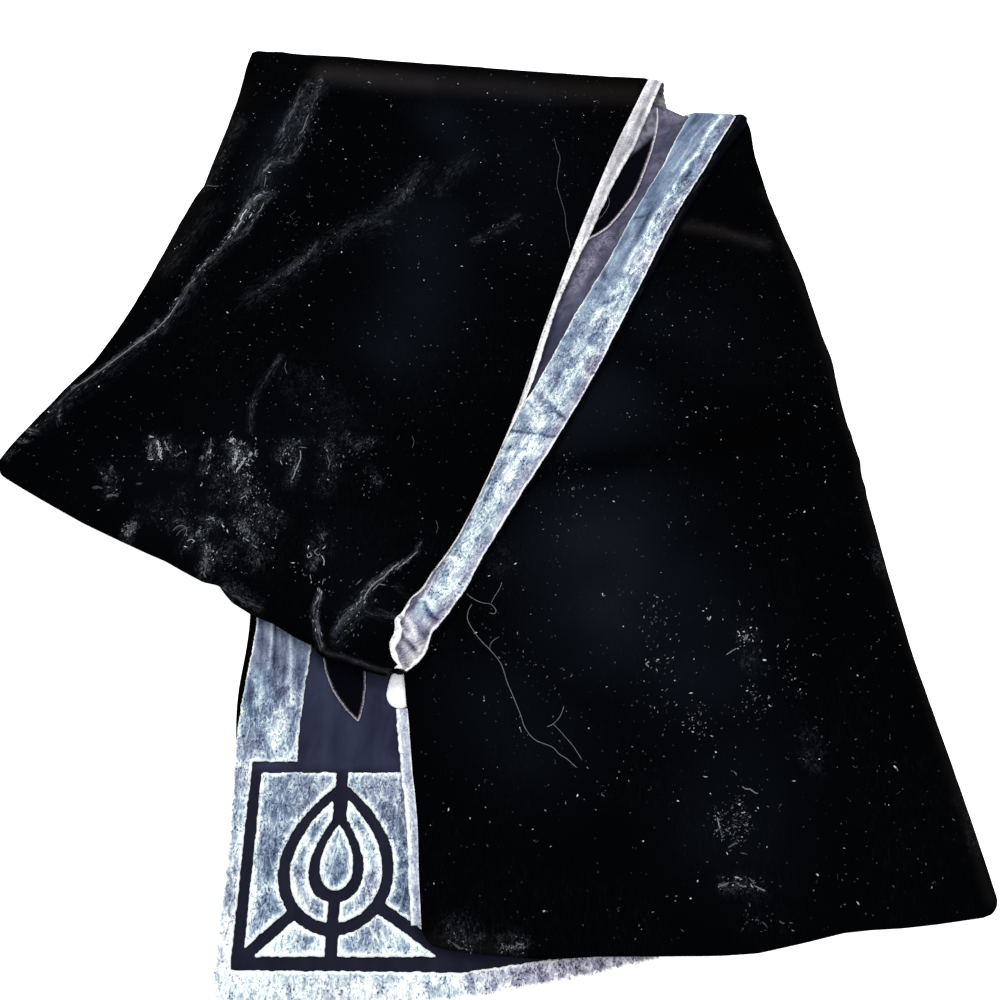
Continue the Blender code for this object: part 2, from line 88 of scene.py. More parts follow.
# order, height, reach, points
CREASES = [
    (1, 0.003, 0.011, [(0.182, 0.158), (0.205, 0.15)]), (1, 0.003, 0.012, [(0.2, 0.034), (0.232, 0.04)]),
    (1, 0.0034, 0.012, [(0.196, -0.018), (0.24, -0.028)]),
    (1, 0.0022, 0.017, [(0.1, -0.072), (0.15, -0.066), (0.19, -0.076)]),
    (3, 0.003, 0.018, [(-0.104, 0.262), (-0.134, 0.143), (-0.17, 0.066), (-0.226, -0.006)]),
    (3, 0.0022, 0.015, [(-0.046, 0.135), (-0.085, 0.119), (-0.124, 0.083)]),
    (3, 0.0032, 0.013, [(-0.016, -0.09), (-0.042, -0.114), (-0.056, -0.142)]),
    (3, 0.0026, 0.012, [(-0.078, -0.09), (-0.08, -0.128)]), (3, 0.0028, 0.016, [(-0.146, 0.284), (0.127, 0.257)]),
    (3, 0.0022, 0.016, [(-0.244, -0.024), (-0.134, -0.092), (-0.028, -0.142)]),
]
# Small rises and dents of the folds and edges, in mm outwards: by share of the width, or of the length
OUTER_FRAY = [
    (0.0, 0.0), (0.03, 0.5), (0.07, 2.2), (0.12, 1.2), (0.2, -0.6), (0.28, -2.8), (0.38, -2.3), (0.5, -1.2),
    (0.9, -1.2), (1.0, 0.0),
]
NECK_FRAY = [
    (0.0, 0.0), (0.24, 0.0), (0.35, -1.2), (0.45, -2.3), (0.5, -1.4), (0.55, -0.8), (0.585, -2.6), (0.605, 0.0),
    (0.63, 2.6), (0.68, 4.0), (0.73, 3.5), (0.785, 5.2), (0.81, 5.3), (0.825, 5.4), (0.845, 8.0), (0.865, 8.9),
    (0.89, 6.8), (0.912, 6.1), (0.935, 6.5), (0.96, 5.3), (0.98, 4.6), (0.99, 3.6), (1.0, 1.4),
]
INNER_FRAY = [
    (0.0, 0.0), (0.7, 1.0), (0.79, 2.6), (0.825, -1.7), (0.86, -5.5), (0.885, -1.6), (0.95, 1.3), (0.985, 2.6),
    (1.0, 3.8),
]
HEM_FRAY = [
    (0.0, 0.0), (0.2, 0.0), (0.29, -1.6), (0.36, -1.4), (0.43, -0.6), (0.5, 0.6), (0.565, 1.2), (0.65, -0.6),
    (0.72, -2.2), (0.77, -1.6), (0.83, 0.0), (0.89, 1.0), (0.97, 1.8), (1.0, 1.5),
]
NECK_LEFT = [
    (0.0, 0.0), (0.15, -0.8), (0.22, -2.2), (0.27, -3.0), (0.315, -4.6), (0.34, -2.3), (0.4, -1.2), (0.53, -1.6),
    (0.68, -1.4), (0.73, -2.8), (0.78, -1.4), (0.84, -1.0), (1.0, 0.0),
]
NECK_RIGHT = [
    (0.0, 0.0), (0.85, 0.0), (0.873, -0.6), (0.89, -1.8), (0.904, -1.6), (0.912, -1.9), (0.92, -2.8), (0.927, -2.2),
    (0.935, -1.2), (0.943, 0.2), (0.951, -0.4), (0.958, 0.8), (0.966, 0.6), (0.973, -1.2), (0.98, -3.1),
    (0.987, -3.5), (0.994, -3.4), (0.997, -2.2), (1.0, 0.2),
]
UPPER_LEFT = [(0.0, 0.0), (0.72, 0.0), (0.8, 1.6), (0.86, 3.0), (0.95, 2.6), (1.0, 1.0)]
UPPER_RIGHT = [
    (0.0, 4.6), (0.012, 4.8), (0.022, 4.3), (0.045, 2.1), (0.06, 1.2), (0.085, 0.4), (0.12, -0.8), (0.17, -2.8),
    (0.22, -0.2), (0.27, 0.8), (0.33, 0.0), (1.0, 0.0),
]
DROP_CENTRE = (-0.050, -0.254)
DROP_BODY, DROP_TIP, DROP_POINT, DROP_RING = 0.0205, 0.0180, 0.55, 0.0088
SQUARE_LEFT, SQUARE_RIGHT, SQUARE_BOTTOM, SQUARE_TOP = -0.0895, 0.0040, -0.2890, -0.2055
WRAP = 0.0010  # how far the cloth below ends inside the velvet that wraps its edge
EDGE_GAP = (SEAM_GAP + 0.0006) / STOLE_WIDTH

# ------------------------------------------------------------------ small maths


def hermite(marks, values, at):
    """Values at marks, on a smooth curve through a table's rows."""
    marks, values, at = (np.asarray(numbers, float) for numbers in (marks, values, at))
    last = len(marks) - 1
    rows = np.arange(last + 1)
    before, after = np.maximum(rows - 1, 0), np.minimum(rows + 1, last)
    slopes = (values[after] - values[before]) / (marks[after] - marks[before])
    row = np.clip(np.searchsorted(marks, at, side="left") - 1, 0, last - 1)
    step = marks[row + 1] - marks[row]
    t = (at - marks[row]) / step
    return (
        (2 * t**3 - 3 * t**2 + 1) * values[row]
        + (t**3 - 2 * t**2 + t) * step * slopes[row]
        + (3 * t**2 - 2 * t**3) * values[row + 1]
        + (t**3 - t**2) * step * slopes[row + 1]
    )


def smooth(share):
    share = np.clip(share, 0.0, 1.0)
    return share * share * (3 - 2 * share)


def fade(distance, reach):
    return smooth(1 - np.abs(distance) / reach)


def hill(distance, reach):
    return np.exp(-((distance / reach) ** 2))


def to_line(x, y, points):
    """How far places are from an open line of points."""
    nearest = np.full(np.shape(x), np.inf)
    for (x0, y0), (x1, y1) in zip(points, points[1:]):
        run_x, run_y = x1 - x0, y1 - y0
        share = np.clip(((x - x0) * run_x + (y - y0) * run_y) / (run_x**2 + run_y**2 + 1e-18), 0, 1)
        nearest = np.minimum(nearest, np.hypot(x - x0 - share * run_x, y - y0 - share * run_y))
    return nearest


def inside(x, y, outline):
    odd = np.zeros(np.shape(x), bool)
    for (x0, y0), (x1, y1) in zip(outline, outline[1:] + outline[:1]):
        if y0 != y1:
            odd ^= ((y0 > y) != (y1 > y)) & (x < x0 + (y - y0) * (x1 - x0) / (y1 - y0))
    return odd


LATTICE_SIZE = 128
LATTICE = np.random.default_rng(7).random((8, LATTICE_SIZE, LATTICE_SIZE))


def noise(x, y, size, layer=0):
    """Smooth noise from -1 to 1, with hills of a given size in metres."""
    u, v = np.asarray(x) / size, np.asarray(y) / size
    i, j = np.floor(u).astype(int), np.floor(v).astype(int)
    s, t = smooth(u - i), smooth(v - j)
    near, far = (
        LATTICE[layer][i % LATTICE_SIZE, row % LATTICE_SIZE] * (1 - s)
        + LATTICE[layer][(i + 1) % LATTICE_SIZE, row % LATTICE_SIZE] * s
        for row in (j, j + 1)
    )
    return 2 * (near * (1 - t) + far * t) - 1


def seen(pixel, height):
    """Where a pixel of the view lies, at a height above the surface."""
    u, v = (pixel[0] - MIDDLE) / FOCAL, (pixel[1] - MIDDLE) / FOCAL
    ahead = math.cos(PITCH) - v * math.sin(PITCH)
    down = math.sin(PITCH) + v * math.cos(PITCH)
    reach = (EYE[2] - height) / down
    return EYE[0] + u * reach, EYE[1] + ahead * reach


class Stretch:
    """One length of the stole between two folds, or between a fold and a hem."""

    def __init__(self, order, thickness, sections, bows=(0.0, 0.0), hem=None, bends=(), frays=(), sides=()):
        self.order, self.thickness, self.bows, self.hem, self.bends = order, thickness, bows, hem, dict(bends)
        self.frays, self.sides = ({end: np.array(table).T for end, table in tables} for tables in (frays, sides))
        self.columns = np.array(sections, float).T
        middles = [((s[0] + s[2]) / 2, (s[1] + s[3]) / 2) for s in sections]
        steps = [math.dist(a, b) for a, b in zip(middles, middles[1:])]
        self.length = sum(steps)
        self.marks = [sum(steps[:row]) / self.length for row in range(len(sections))]
        shares = np.linspace(0, 1, 13)
        self.outline = self.places(shares, 0.0) + self.places(shares[::-1], 1.0)

    def section(self, along):
        return [hermite(self.marks, column, along) for column in self.columns]

    def outward(self, end):
        lx, ly, rx, ry = self.section(end)
        mx, my, nx, ny = self.section(0.5)
        out = Vector((ly - ry, rx - lx)).normalized()
        inward = Vector((mx + nx - lx - rx, my + ny - ly - ry))
        return -out if out.dot(inward) > 0 else out

    def plan(self, along, across):
        """Where shares of the length and the width lie."""
        along, across = np.asarray(along, float), np.asarray(across, float)
        lx, ly, rx, ry = self.section(along)
        width = np.hypot(rx - lx, ry - ly)
        if self.hem is not None:
            short = np.clip(HEM_CORNER - np.abs(along - self.hem) * self.length, 0, HEM_CORNER)
            inset = (HEM_CORNER - np.sqrt(HEM_CORNER**2 - short**2)) / width
            across = inset + across * (1 - 2 * inset)
        x, y = lx + across * (rx - lx), ly + across * (ry - ly)
        bowed = np.sin(np.pi * np.clip(across, 0, 1) ** BOW_SKEW)
        swells = [(end, bow * bowed, BOW_REACH) for end, bow in enumerate(self.bows) if bow]
        swells += [(end, np.interp(across, *rise) / 1000, FRAY_REACH) for end, rise in self.frays.items()]
        for end, swell, reach in swells:
            out, swell = self.outward(end), swell * fade((along - end) * self.length, reach)
            x, y = x + out.x * swell, y + out.y * swell
        for side, rise in self.sides.items():
            push = np.interp(along, *rise) / 1000 * (2 * side - 1) / width
            push = push * fade((across - side) * STOLE_WIDTH, SIDE_REACH)
            x, y = x + (rx - lx) * push, y + (ry - ly) * push
        return x, y

    def places(self, along, across):
        x, y = self.plan(along, across)
        return list(zip(x.tolist(), y.tolist()))

    def locate(self, x, y):
        """The shares of length and width of a place."""
        grid_a, grid_c = np.meshgrid(np.linspace(0, 1, 60), np.linspace(-0.1, 1.1, 40), indexing="ij")
        px, py = self.plan(grid_a, grid_c)
        best = np.argmin((px - x) ** 2 + (py - y) ** 2)
        a, c = grid_a.flat[best], grid_c.flat[best]
        for _ in range(12):
            here, ahead, aside = (np.array(self.plan(*shares)) for shares in ((a, c), (a + 1e-4, c), (a, c + 1e-4)))
            slopes = np.stack([ahead - here, aside - here], -1) / 1e-4
            step = np.linalg.lstsq(slopes, np.array([x, y]) - here, rcond=None)[0]
            a, c = float(np.clip(a + step[0], 0, 1)), float(c + step[1])
        return a, c


UNDER = Stretch(0, FACED, UNDER_SECTIONS, (HEM_BOW, OUTER_BOW), hem=0, frays=[(1, OUTER_FRAY)])
UPPER = Stretch(1, LINED, UPPER_SECTIONS, (0.0, HEM_BOW), hem=1, frays=[(0, INNER_FRAY), (1, HEM_FRAY)],
                sides=[(0, UPPER_LEFT), (1, UPPER_RIGHT)])
TURNED = Stretch(2, FACED, TURNED_SECTIONS, (NECK_BOW, 0.0), bends=[(1, (UPPER, 0.0010))],
                 frays=[(0, NECK_FRAY), (1, INNER_FRAY)])
NECK = Stretch(3, LINED, NECK_SECTIONS, (OUTER_BOW, NECK_BOW), bends=[(0, (UNDER, 0.0035)), (1, (TURNED, 0.0014))],
               frays=[(0, OUTER_FRAY), (1, NECK_FRAY)], sides=[(0, NECK_LEFT), (1, NECK_RIGHT)])
STACK = [UNDER, UPPER, TURNED, NECK]


def cover(stretch, x, y):
    away = to_line(x, y, stretch.outline + stretch.outline[:1])
    return np.where(inside(x, y, stretch.outline), 1.0, smooth(1 - (away - SNUG) / DRAPE))


def rest_height(order, x, y):
    x, y = np.asarray(x, float), np.asarray(y, float)
    height = np.zeros(np.broadcast(x, y).shape)
    for below in STACK[:order]:
        height = height + (below.thickness + REST_GAP) * cover(below, x, y)
    for own, rise, reach, points in CREASES:
        if own <= order:
            away = to_line(x, y, points) / reach
            height = height + np.where(away < CREASE_ENDS, rise * np.exp(-away * away), 0.0)
    return height


# ------------------------------------------------------------------ what the cloth does up close
# Soft lines in pixels of the view, by the order of the stretch: height or strength, reach (mm), points

VIEW_HEIGHTS = (FACED, 0.0062, 0.0110, 0.0145)  # about how high each stretch's top lies, to place its pixels
PILE_HALF_RISE = 0.0005  # the height of a velvet's marks above its cloth
CREST_FLOW, CREST_APART = 0.015, (0.05, 0.03)  # how far a crest's nap reaches, and its pattern's shift from the last

# Soft folds
FOLDS = {
    3: [
        (0.0012, 4.0, [(322, 80), (303, 100), (297, 137), (278, 150), (262, 180), (245, 212), (230, 240)]),
        (0.0009, 3.0, [(417, 172), (393, 203), (352, 223), (312, 250), (287, 273), (249, 294)]),
        (0.0007, 3.5, [(517, 217), (475, 242)]), (0.0009, 3.0, [(155, 328), (128, 350), (100, 371), (40, 432)]),
        (0.0008, 3.0, [(251, 401), (256, 430), (262, 452)]),
        (0.0014, 3.0, [(415, 556), (381, 577), (363, 594), (347, 616), (335, 632)]),
        (0.0012, 2.6, [(320, 590), (316, 612), (320, 640)]),
        (0.0007, 3.5, [(204, 579), (206, 554), (221, 530), (243, 524)]),
        (0.0006, 4.0, [(345, 520), (352, 490), (360, 450)]), (0.0006, 5.0, [(480, 330), (440, 380), (420, 440)]),
        (0.0006, 5.0, [(130, 420), (180, 440), (240, 470)]),
    ],
    2: [
        (0.0012, 3.0, [(500, 418), (520, 424), (542, 420)]), (0.0011, 3.0, [(505, 440), (525, 440), (540, 437)]),
        (0.0014, 2.6, [(524, 395), (530, 410), (545, 418)]), (0.001, 2.6, [(512, 400), (516, 415)]),
        (0.0016, 2.6, [(400, 604), (412, 622), (424, 648)]), (0.0016, 2.4, [(404, 632), (410, 650), (414, 662)]),
        (0.0012, 2.6, [(420, 606), (432, 622), (436, 634)]), (0.001, 3.0, [(450, 560), (462, 575), (466, 590)]),
    ],
    1: [
        (0.0008, 4.0, [(700, 225), (722, 236), (770, 246)]), (0.0006, 6.0, [(560, 520), (620, 500), (720, 505)]),
        (0.0006, 6.0, [(720, 860), (735, 800), (760, 760)]), (0.0006, 6.0, [(470, 900), (500, 930), (560, 940)]),
        (0.0006, 7.0, [(880, 860), (830, 780), (820, 700)]), (0.0007, 3.0, [(846, 432), (858, 436)]),
        (0.0008, 3.0, [(848, 458), (862, 461)]), (0.0007, 3.0, [(850, 482), (868, 488)]),
    ],
}
# Painted highlights along the crests of folds, whose nap lies in lines along them
CRESTS = {
    3: [
        (0.3, 2.6, [(308, 82), (304, 87), (297, 100), (292, 111), (286, 125), (279, 139)]),
        (0.24, 2.4, [(322, 78), (316, 92), (310, 110), (305, 126), (299, 144), (291, 158)]),
        (0.12, 6.0, [(318, 84), (303, 110), (290, 140), (266, 168), (250, 205)]),
        (0.34, 2.4, [(288, 161), (276, 162), (264, 168), (258, 184)]),
        (0.9, 1.9, [(267, 193), (258, 197), (250, 204), (242, 217), (234, 231)]),
        (0.4, 1.3, [(274, 193), (266, 202), (258, 212), (245, 233), (227, 247)]),
        (0.7, 1.1, [(234, 231), (221, 249), (208, 261), (200, 268), (190, 284), (180, 300), (169, 316)]),
        (0.1, 4.0, [(236, 236), (208, 264), (184, 298), (162, 328)]),
        (0.34, 1.1, [(157, 320), (151, 331), (143, 344)]),
        (0.16, 0.7, [(326, 652), (340, 655), (357, 661), (369, 666), (380, 669), (392, 671)]),
        (0.6, 1.0, [(169, 316), (158, 328), (144, 338)]),
        (0.85, 1.1, [(144, 338), (124, 353), (102, 369), (84, 382)]),
        (0.6, 1.3, [(84, 382), (71, 389), (60, 400), (51, 411)]), (0.4, 1.1, [(61, 408), (58, 424)]),
        (0.45, 1.5, [(28, 430), (38, 432)]), (0.4, 1.4, [(19, 440), (26, 441)]), (0.3, 1.6, [(7, 457), (12, 452)]),
        (0.06, 5.0, [(140, 346), (100, 376), (40, 426)]),
        (0.08, 6.0, [(424, 168), (405, 192), (386, 212), (360, 222)]),
        (0.26, 1.4, [(419, 171), (411, 184), (404, 193), (397, 204), (387, 211), (374, 218)]),
        (0.05, 7.0, [(384, 222), (350, 228), (325, 244), (300, 264), (272, 284), (250, 298)]),
        (0.2, 1.5, [(388, 222), (372, 221), (356, 223), (343, 236)]),
        (0.46, 0.9, [(317, 243), (313, 250), (309, 255), (298, 265), (286, 275)]),
        (0.2, 1.3, [(300, 258), (282, 274), (266, 286), (250, 296)]),
        (0.06, 5.0, [(466, 160), (452, 172), (440, 190)]), (0.13, 2.4, [(517, 217), (495, 232), (475, 242)]),
        (0.07, 5.0, [(240, 122), (222, 150), (206, 186)]), (0.2, 1.3, [(186, 186), (196, 188), (208, 186)]),
        (0.05, 6.0, [(212, 208), (190, 240), (170, 268)]),
        (0.22, 1.4, [(281, 356), (262, 385), (252, 405), (250, 430)]), (0.45, 0.9, [(420, 543), (417, 552)]),
        (0.7, 0.6, [(417, 552), (408, 560), (399, 566)]),
        (1.0, 1.0, [(399, 566), (389, 570), (383, 577), (371, 585)]),
        (0.9, 1.4, [(371, 585), (366, 593), (363, 602), (352, 610), (343, 619), (334, 633)]),
        (0.85, 1.3, [(320, 594), (315, 610), (316, 622), (321, 646)]),
        (0.1, 3.4, [(336, 640), (346, 626), (360, 612)]), (0.14, 1.4, [(366, 610), (380, 614), (396, 616)]),
        (0.14, 0.9, [(396, 588), (401, 590), (407, 595)]),
        (0.3, 1.0, [(222, 586), (232, 594), (246, 602), (258, 607)]),
    ],
    1: [(0.02, 4.5, [(690, 222), (722, 232), (764, 244)])],
}
# Patches of crushed nap, pale with painted sheen, whose nap lies in streaks up the stretch
NAP = {
    3: [
        (1.0, 3.0, [(153, 440), (156, 458)]), (0.28, 3.6, [(164, 440), (168, 452), (174, 462)]),
        (0.1, 5.0, [(188, 448), (184, 462)]), (1.0, 3.2, [(230, 445), (240, 458), (246, 452)]),
        (0.55, 6.0, [(236, 462), (238, 484), (252, 500)]), (0.5, 6.0, [(240, 492), (256, 512), (272, 524)]),
        (0.75, 4.0, [(240, 520), (250, 532), (256, 544)]), (0.6, 2.6, [(210, 444), (208, 460), (203, 472)]),
        (0.3, 5.0, [(222, 470), (218, 500)]), (0.7, 2.8, [(290, 448), (296, 462), (292, 482)]),
        (0.45, 3.0, [(280, 456), (286, 444), (300, 442)]), (0.34, 4.0, [(326, 446), (331, 470), (324, 490)]),
        (0.4, 3.0, [(348, 438), (358, 446), (372, 440)]), (0.4, 2.6, [(370, 470), (378, 484)]),
        (0.75, 3.2, [(206, 518), (216, 524), (206, 534), (194, 536), (186, 546)]),
        (0.45, 3.4, [(172, 526), (182, 522), (190, 534)]), (0.5, 4.0, [(206, 545), (206, 560), (203, 578)]),
        (0.3, 7.0, [(222, 552), (245, 545), (262, 560)]), (0.75, 2.8, [(134, 522), (128, 534), (122, 542)]),
        (0.13, 5.0, [(150, 515), (175, 506), (184, 492)]), (0.18, 4.0, [(104, 466), (112, 478), (108, 494)]),
        (0.12, 3.0, [(140, 505), (158, 514), (160, 500)]), (0.55, 2.6, [(310, 546), (318, 556), (312, 566)]),
        (0.35, 3.2, [(320, 530), (326, 548)]), (0.22, 4.0, [(222, 582), (238, 594), (256, 606)]),
        (0.3, 5.0, [(350, 610), (364, 600)]), (0.1, 12.0, [(300, 380), (340, 420), (330, 450)]),
    ],
    1: [
        (0.3, 3.6, [(728, 884), (742, 886), (756, 888)]), (0.25, 6.0, [(452, 930), (470, 936)]),
        (0.55, 3.6, [(504, 940), (520, 946)]), (0.22, 5.0, [(746, 636), (752, 662)]),
        (0.08, 9.0, [(480, 450), (470, 520), (500, 560)]), (0.14, 6.0, [(806, 742), (816, 762)]),
        (0.26, 2.6, [(874, 545), (882, 575)]), (0.14, 3.0, [(964, 800), (976, 850)]),
    ],
}
# Painted light: a broad cool haze where the light catches the pile, a warm glow near some edges, and a band of painted
# shade
HAZE = {
    3: [
        (0.42, 30.0, [(430, 220), (430, 280), (400, 340)]), (0.45, 20.0, [(445, 120), (470, 150)]),
        (0.16, 30.0, [(250, 430), (300, 460), (320, 420)]), (0.34, 16.0, [(285, 120), (262, 180)]),
        (0.34, 9.0, [(332, 76), (430, 84), (540, 94)]), (0.2, 40.0, [(510, 130), (520, 210)]),
        (0.14, 22.0, [(340, 540), (360, 600)]),
        (0.75, 1.0, [(329, 653), (340, 655), (357, 661), (369, 666), (385, 670)]),
        (0.2, 24.0, [(150, 470), (210, 520)]),
    ],
    1: [
        (0.85, 42.0, [(600, 540), (610, 600)]), (0.7, 30.0, [(570, 420), (600, 400)]),
        (0.22, 34.0, [(700, 330), (640, 320)]), (0.5, 38.0, [(690, 660), (660, 590)]),
        (0.35, 30.0, [(500, 700), (540, 740)]), (0.3, 34.0, [(730, 820), (740, 780)]),
    ],
}
GLOW = {
    3: [
        (0.4, 8.0, [(324, 72), (360, 76), (430, 83)]), (0.24, 9.0, [(430, 82), (540, 90), (630, 94)]),
        (0.5, 0.7, [(318, 647), (329, 653), (340, 655), (357, 661), (369, 666), (380, 669), (390, 671)]),
        (0.08, 12.0, [(236, 90), (206, 160), (160, 260)]),
    ],
    1: [
        (0.22, 5.0, [(686, 226), (722, 233), (764, 244)]),
        (0.14, 3.2, [(764, 190), (808, 300), (836, 384), (870, 510)]),
        (0.18, 3.2, [(870, 510), (900, 610), (946, 750)]), (0.14, 3.2, [(946, 750), (992, 900)]),
        (0.1, 5.0, [(430, 944), (500, 950)]),
    ],
}
SHADE = {
    1: [(0.85, 8.0, [(500, 476), (560, 468), (640, 458), (700, 448), (790, 424)])],
}
# Painted light and shade of the side border's pleats and folds
BORDER_MARKS = {
    0: [
        (-0.12, 1.4, [(262, 622), (262, 650), (259, 690), (256, 720)]),
        (0.34, 1.0, [(272, 622), (271, 645), (269, 668)]), (-0.22, 0.7, [(276, 624), (275, 645), (273, 668)]),
        (0.34, 1.1, [(289, 632), (291, 650), (291, 675), (292, 704)]),
        (-0.16, 0.9, [(283, 630), (284, 655), (284, 690), (283, 706)]),
        (-0.14, 0.9, [(296, 640), (298, 665), (299, 690)]), (0.26, 0.8, [(262, 676), (260, 696), (259, 713)]),
        (-0.14, 1.8, [(252, 690), (248, 715), (246, 740)]), (0.22, 0.9, [(255, 680), (257, 696), (256, 706)]),
        (-0.12, 3.0, [(262, 640), (280, 668), (300, 672)]), (-0.1, 4.0, [(268, 676), (276, 690)]),
        (0.22, 4.0, [(282, 712), (276, 745), (286, 790)]),
    ],
}
# Where the turned satin catches the light
SATIN_MARKS = {
    2: [
        (0.3, 7.0, [(664, 112), (680, 120)]), (-0.5, 5.0, [(684, 126), (672, 140), (664, 144)]),
        (0.16, 4.0, [(660, 152), (654, 166)]), (-0.2, 4.0, [(646, 180), (636, 196)]),
        (0.44, 5.0, [(606, 236), (598, 248), (586, 262)]), (0.52, 5.0, [(592, 262), (582, 276), (574, 290)]),
        (-0.25, 4.0, [(604, 260), (594, 276)]), (0.2, 5.0, [(572, 296), (560, 312)]),
        (-0.3, 5.0, [(566, 322), (552, 340), (540, 360)]),
    ],
}
# Painted shade in the turned border's creases and painted highlights on its crests
BAND_MARKS = {
    2: [
        (0.4, 1.5, [(722, 113), (712, 126), (706, 134), (702, 145), (697, 154)]),
        (0.42, 0.9, [(697, 154), (688, 163), (682, 173), (673, 187)]),
        (0.26, 0.8, [(714, 115), (702, 126), (693, 137), (688, 148), (683, 156), (672, 172)]),
        (-0.24, 1.0, [(705, 145), (700, 158)]), (-0.3, 1.2, [(690, 172), (685, 180)]),
        (0.32, 1.4, [(676, 186), (663, 205), (655, 214), (648, 228), (640, 242), (633, 253), (627, 269), (617, 290)]),
        (0.12, 3.0, [(655, 228), (642, 258), (622, 296)]), (-0.34, 1.2, [(655, 233), (653, 239)]),
        (-0.3, 1.2, [(643, 254), (640, 260)]), (-0.26, 1.1, [(674, 198), (671, 205)]),
        (-0.2, 0.9, [(668, 210), (662, 220)]), (-0.28, 0.9, [(650, 213), (643, 217), (635, 218)]),
        (-0.11, 1.3, [(648, 217), (641, 232), (636, 244), (627, 253), (622, 265), (615, 281)]),
        (0.22, 1.1, [(643, 209), (640, 214)]), (0.18, 1.4, [(634, 223), (632, 232)]),
        (0.16, 1.6, [(610, 272), (605, 284)]), (0.22, 1.4, [(536, 385), (539, 396), (543, 410)]),
        (0.05, 1.6, [(517, 427), (530, 426), (548, 424)]), (-0.08, 2.0, [(554, 398), (560, 405)]),
        (0.24, 1.8, [(506, 458), (514, 450), (524, 444)]),
        (-0.2, 1.2, [(516, 456), (503, 466), (493, 484), (485, 500), (477, 512)]),
        (-0.36, 0.9, [(512, 431), (522, 433), (535, 434), (548, 437), (555, 437)]),
        (-0.16, 2.2, [(556, 428), (540, 430), (526, 430)]),
        (-0.24, 1.4, [(536, 384), (539, 394), (545, 403), (552, 410), (560, 416), (568, 421)]),
        (-0.26, 0.8, [(527, 403), (532, 407), (537, 411), (541, 416)]),
        (0.26, 1.6, [(529, 388), (531, 396), (533, 404), (537, 410)]),
        (0.18, 2.4, [(545, 380), (542, 390), (548, 400)]), (-0.2, 1.2, [(560, 374), (555, 385), (550, 392)]),
        (0.1, 2.0, [(566, 388), (560, 396), (552, 404)]), (-0.12, 2.2, [(532, 424), (542, 420), (550, 412)]),
        (-0.12, 0.8, [(519, 431), (530, 433), (544, 435), (554, 437)]),
        (-0.22, 1.0, [(538, 394), (541, 402), (544, 412), (548, 418)]),
        (-0.3, 1.2, [(549, 402), (556, 410), (562, 416)]),
        (-0.18, 2.2, [(507, 458), (500, 472), (492, 484), (485, 500)]),
        (-0.24, 1.0, [(495, 442), (500, 446), (506, 449), (512, 447)]),
        (0.16, 1.8, [(514, 446), (508, 440), (520, 432)]),
        (-0.08, 1.6, [(530, 440), (516, 446), (504, 456), (494, 470), (488, 482)]),
        (0.12, 2.4, [(500, 446), (490, 466), (482, 484)]),
        (-0.46, 1.0, [(425, 603), (427, 609), (430, 615), (437, 620)]),
        (0.12, 1.8, [(431, 603), (433, 608), (435, 613)]), (0.18, 1.4, [(424, 621), (429, 625), (433, 629)]),
        (-0.22, 2.0, [(417, 625), (421, 630), (424, 634)]), (-0.44, 0.7, [(399, 619), (403, 625), (407, 632)]),
        (0.3, 1.1, [(402, 616), (408, 621), (413, 628), (416, 638), (418, 650)]),
        (0.12, 0.9, [(404, 630), (409, 638), (415, 645)]), (-0.52, 1.1, [(402, 637), (408, 643), (415, 650)]),
        (-0.4, 0.6, [(396, 645), (400, 650), (403, 656), (407, 667)]),
        (-0.26, 0.4, [(399, 646), (403, 651), (408, 660)]), (0.24, 1.7, [(406, 651), (410, 656), (413, 660)]),
        (-0.2, 2.0, [(415, 600), (414, 605), (410, 611)]),
        (0.22, 0.5, [(419, 602), (421, 599), (425, 600), (423, 605)]), (-0.22, 1.0, [(428, 633), (425, 638)]),
        (-0.24, 2.6, [(448, 600), (444, 608), (440, 612)]), (0.14, 2.6, [(452, 580), (446, 592)]),
        (0.16, 1.2, [(646, 166), (628, 192), (610, 212)]), (0.15, 1.6, [(596, 278), (604, 284), (612, 292)]),
        (-0.16, 1.0, [(612, 284), (620, 292), (612, 300), (602, 304)]),
        (0.18, 1.2, [(622, 296), (610, 306), (596, 316), (588, 330)]),
        (-0.22, 1.4, [(606, 320), (596, 334), (586, 348), (572, 360)]),
        (-0.12, 2.2, [(604, 256), (600, 268), (606, 280)]),
    ],
}
PLACED = {}


def feature_line(points, order):
    """Places of a line's pixels: on a velvet's own height, and otherwise at one height."""
    key = (order, tuple(points))
    if key not in PLACED:
        pixels = np.array(points, float).T
        x, y = seen(pixels, VIEW_HEIGHTS[order])
        for _ in range(3 if order in (1, 3) else 0):
            x, y = seen(pixels, rest_height(order, x, y) + LINED + PILE_HALF_RISE)
        PLACED[key] = list(zip(x.tolist(), y.tolist()))
    return PLACED[key]


def layered(table, order, x, y, merge=np.maximum):
    """A table's soft lines at each place: the strongest of them, or with np.add their sum."""
    total = np.zeros(np.shape(x))
    for strength, reach, points in table.get(order, []):
        away = to_line(x, y, feature_line(points, order)) / (reach / 1000)
        total = merge(total, strength * np.exp(-away * away))
    return total


def nap_flow(order, x, y):
    """Coordinates along and across the nap's lines: those of the nearest crest, or else up the stretch."""
    along, off, nearest = y.copy(), x.copy(), np.full(np.shape(x), CREST_FLOW)
    for number, (*_, points) in enumerate(CRESTS[order]):
        line, travelled = feature_line(points, order), CREST_APART[0] * number
        for (x0, y0), (x1, y1) in zip(line, line[1:]):
            run = math.hypot(x1 - x0, y1 - y0)
            fx, fy = (x1 - x0) / run, (y1 - y0) / run
            share = (x - x0) * fx + (y - y0) * fy
            kept = np.clip(share, 0, run)
            away = np.hypot(x - x0 - kept * fx, y - y0 - kept * fy)
            closer = away < nearest
            along = np.where(closer, travelled + share, along)
            off = np.where(closer, (x - x0) * fy - (y - y0) * fx + CREST_APART[1] * number, off)
            nearest = np.where(closer, away, nearest)
            travelled += run
    return along, off


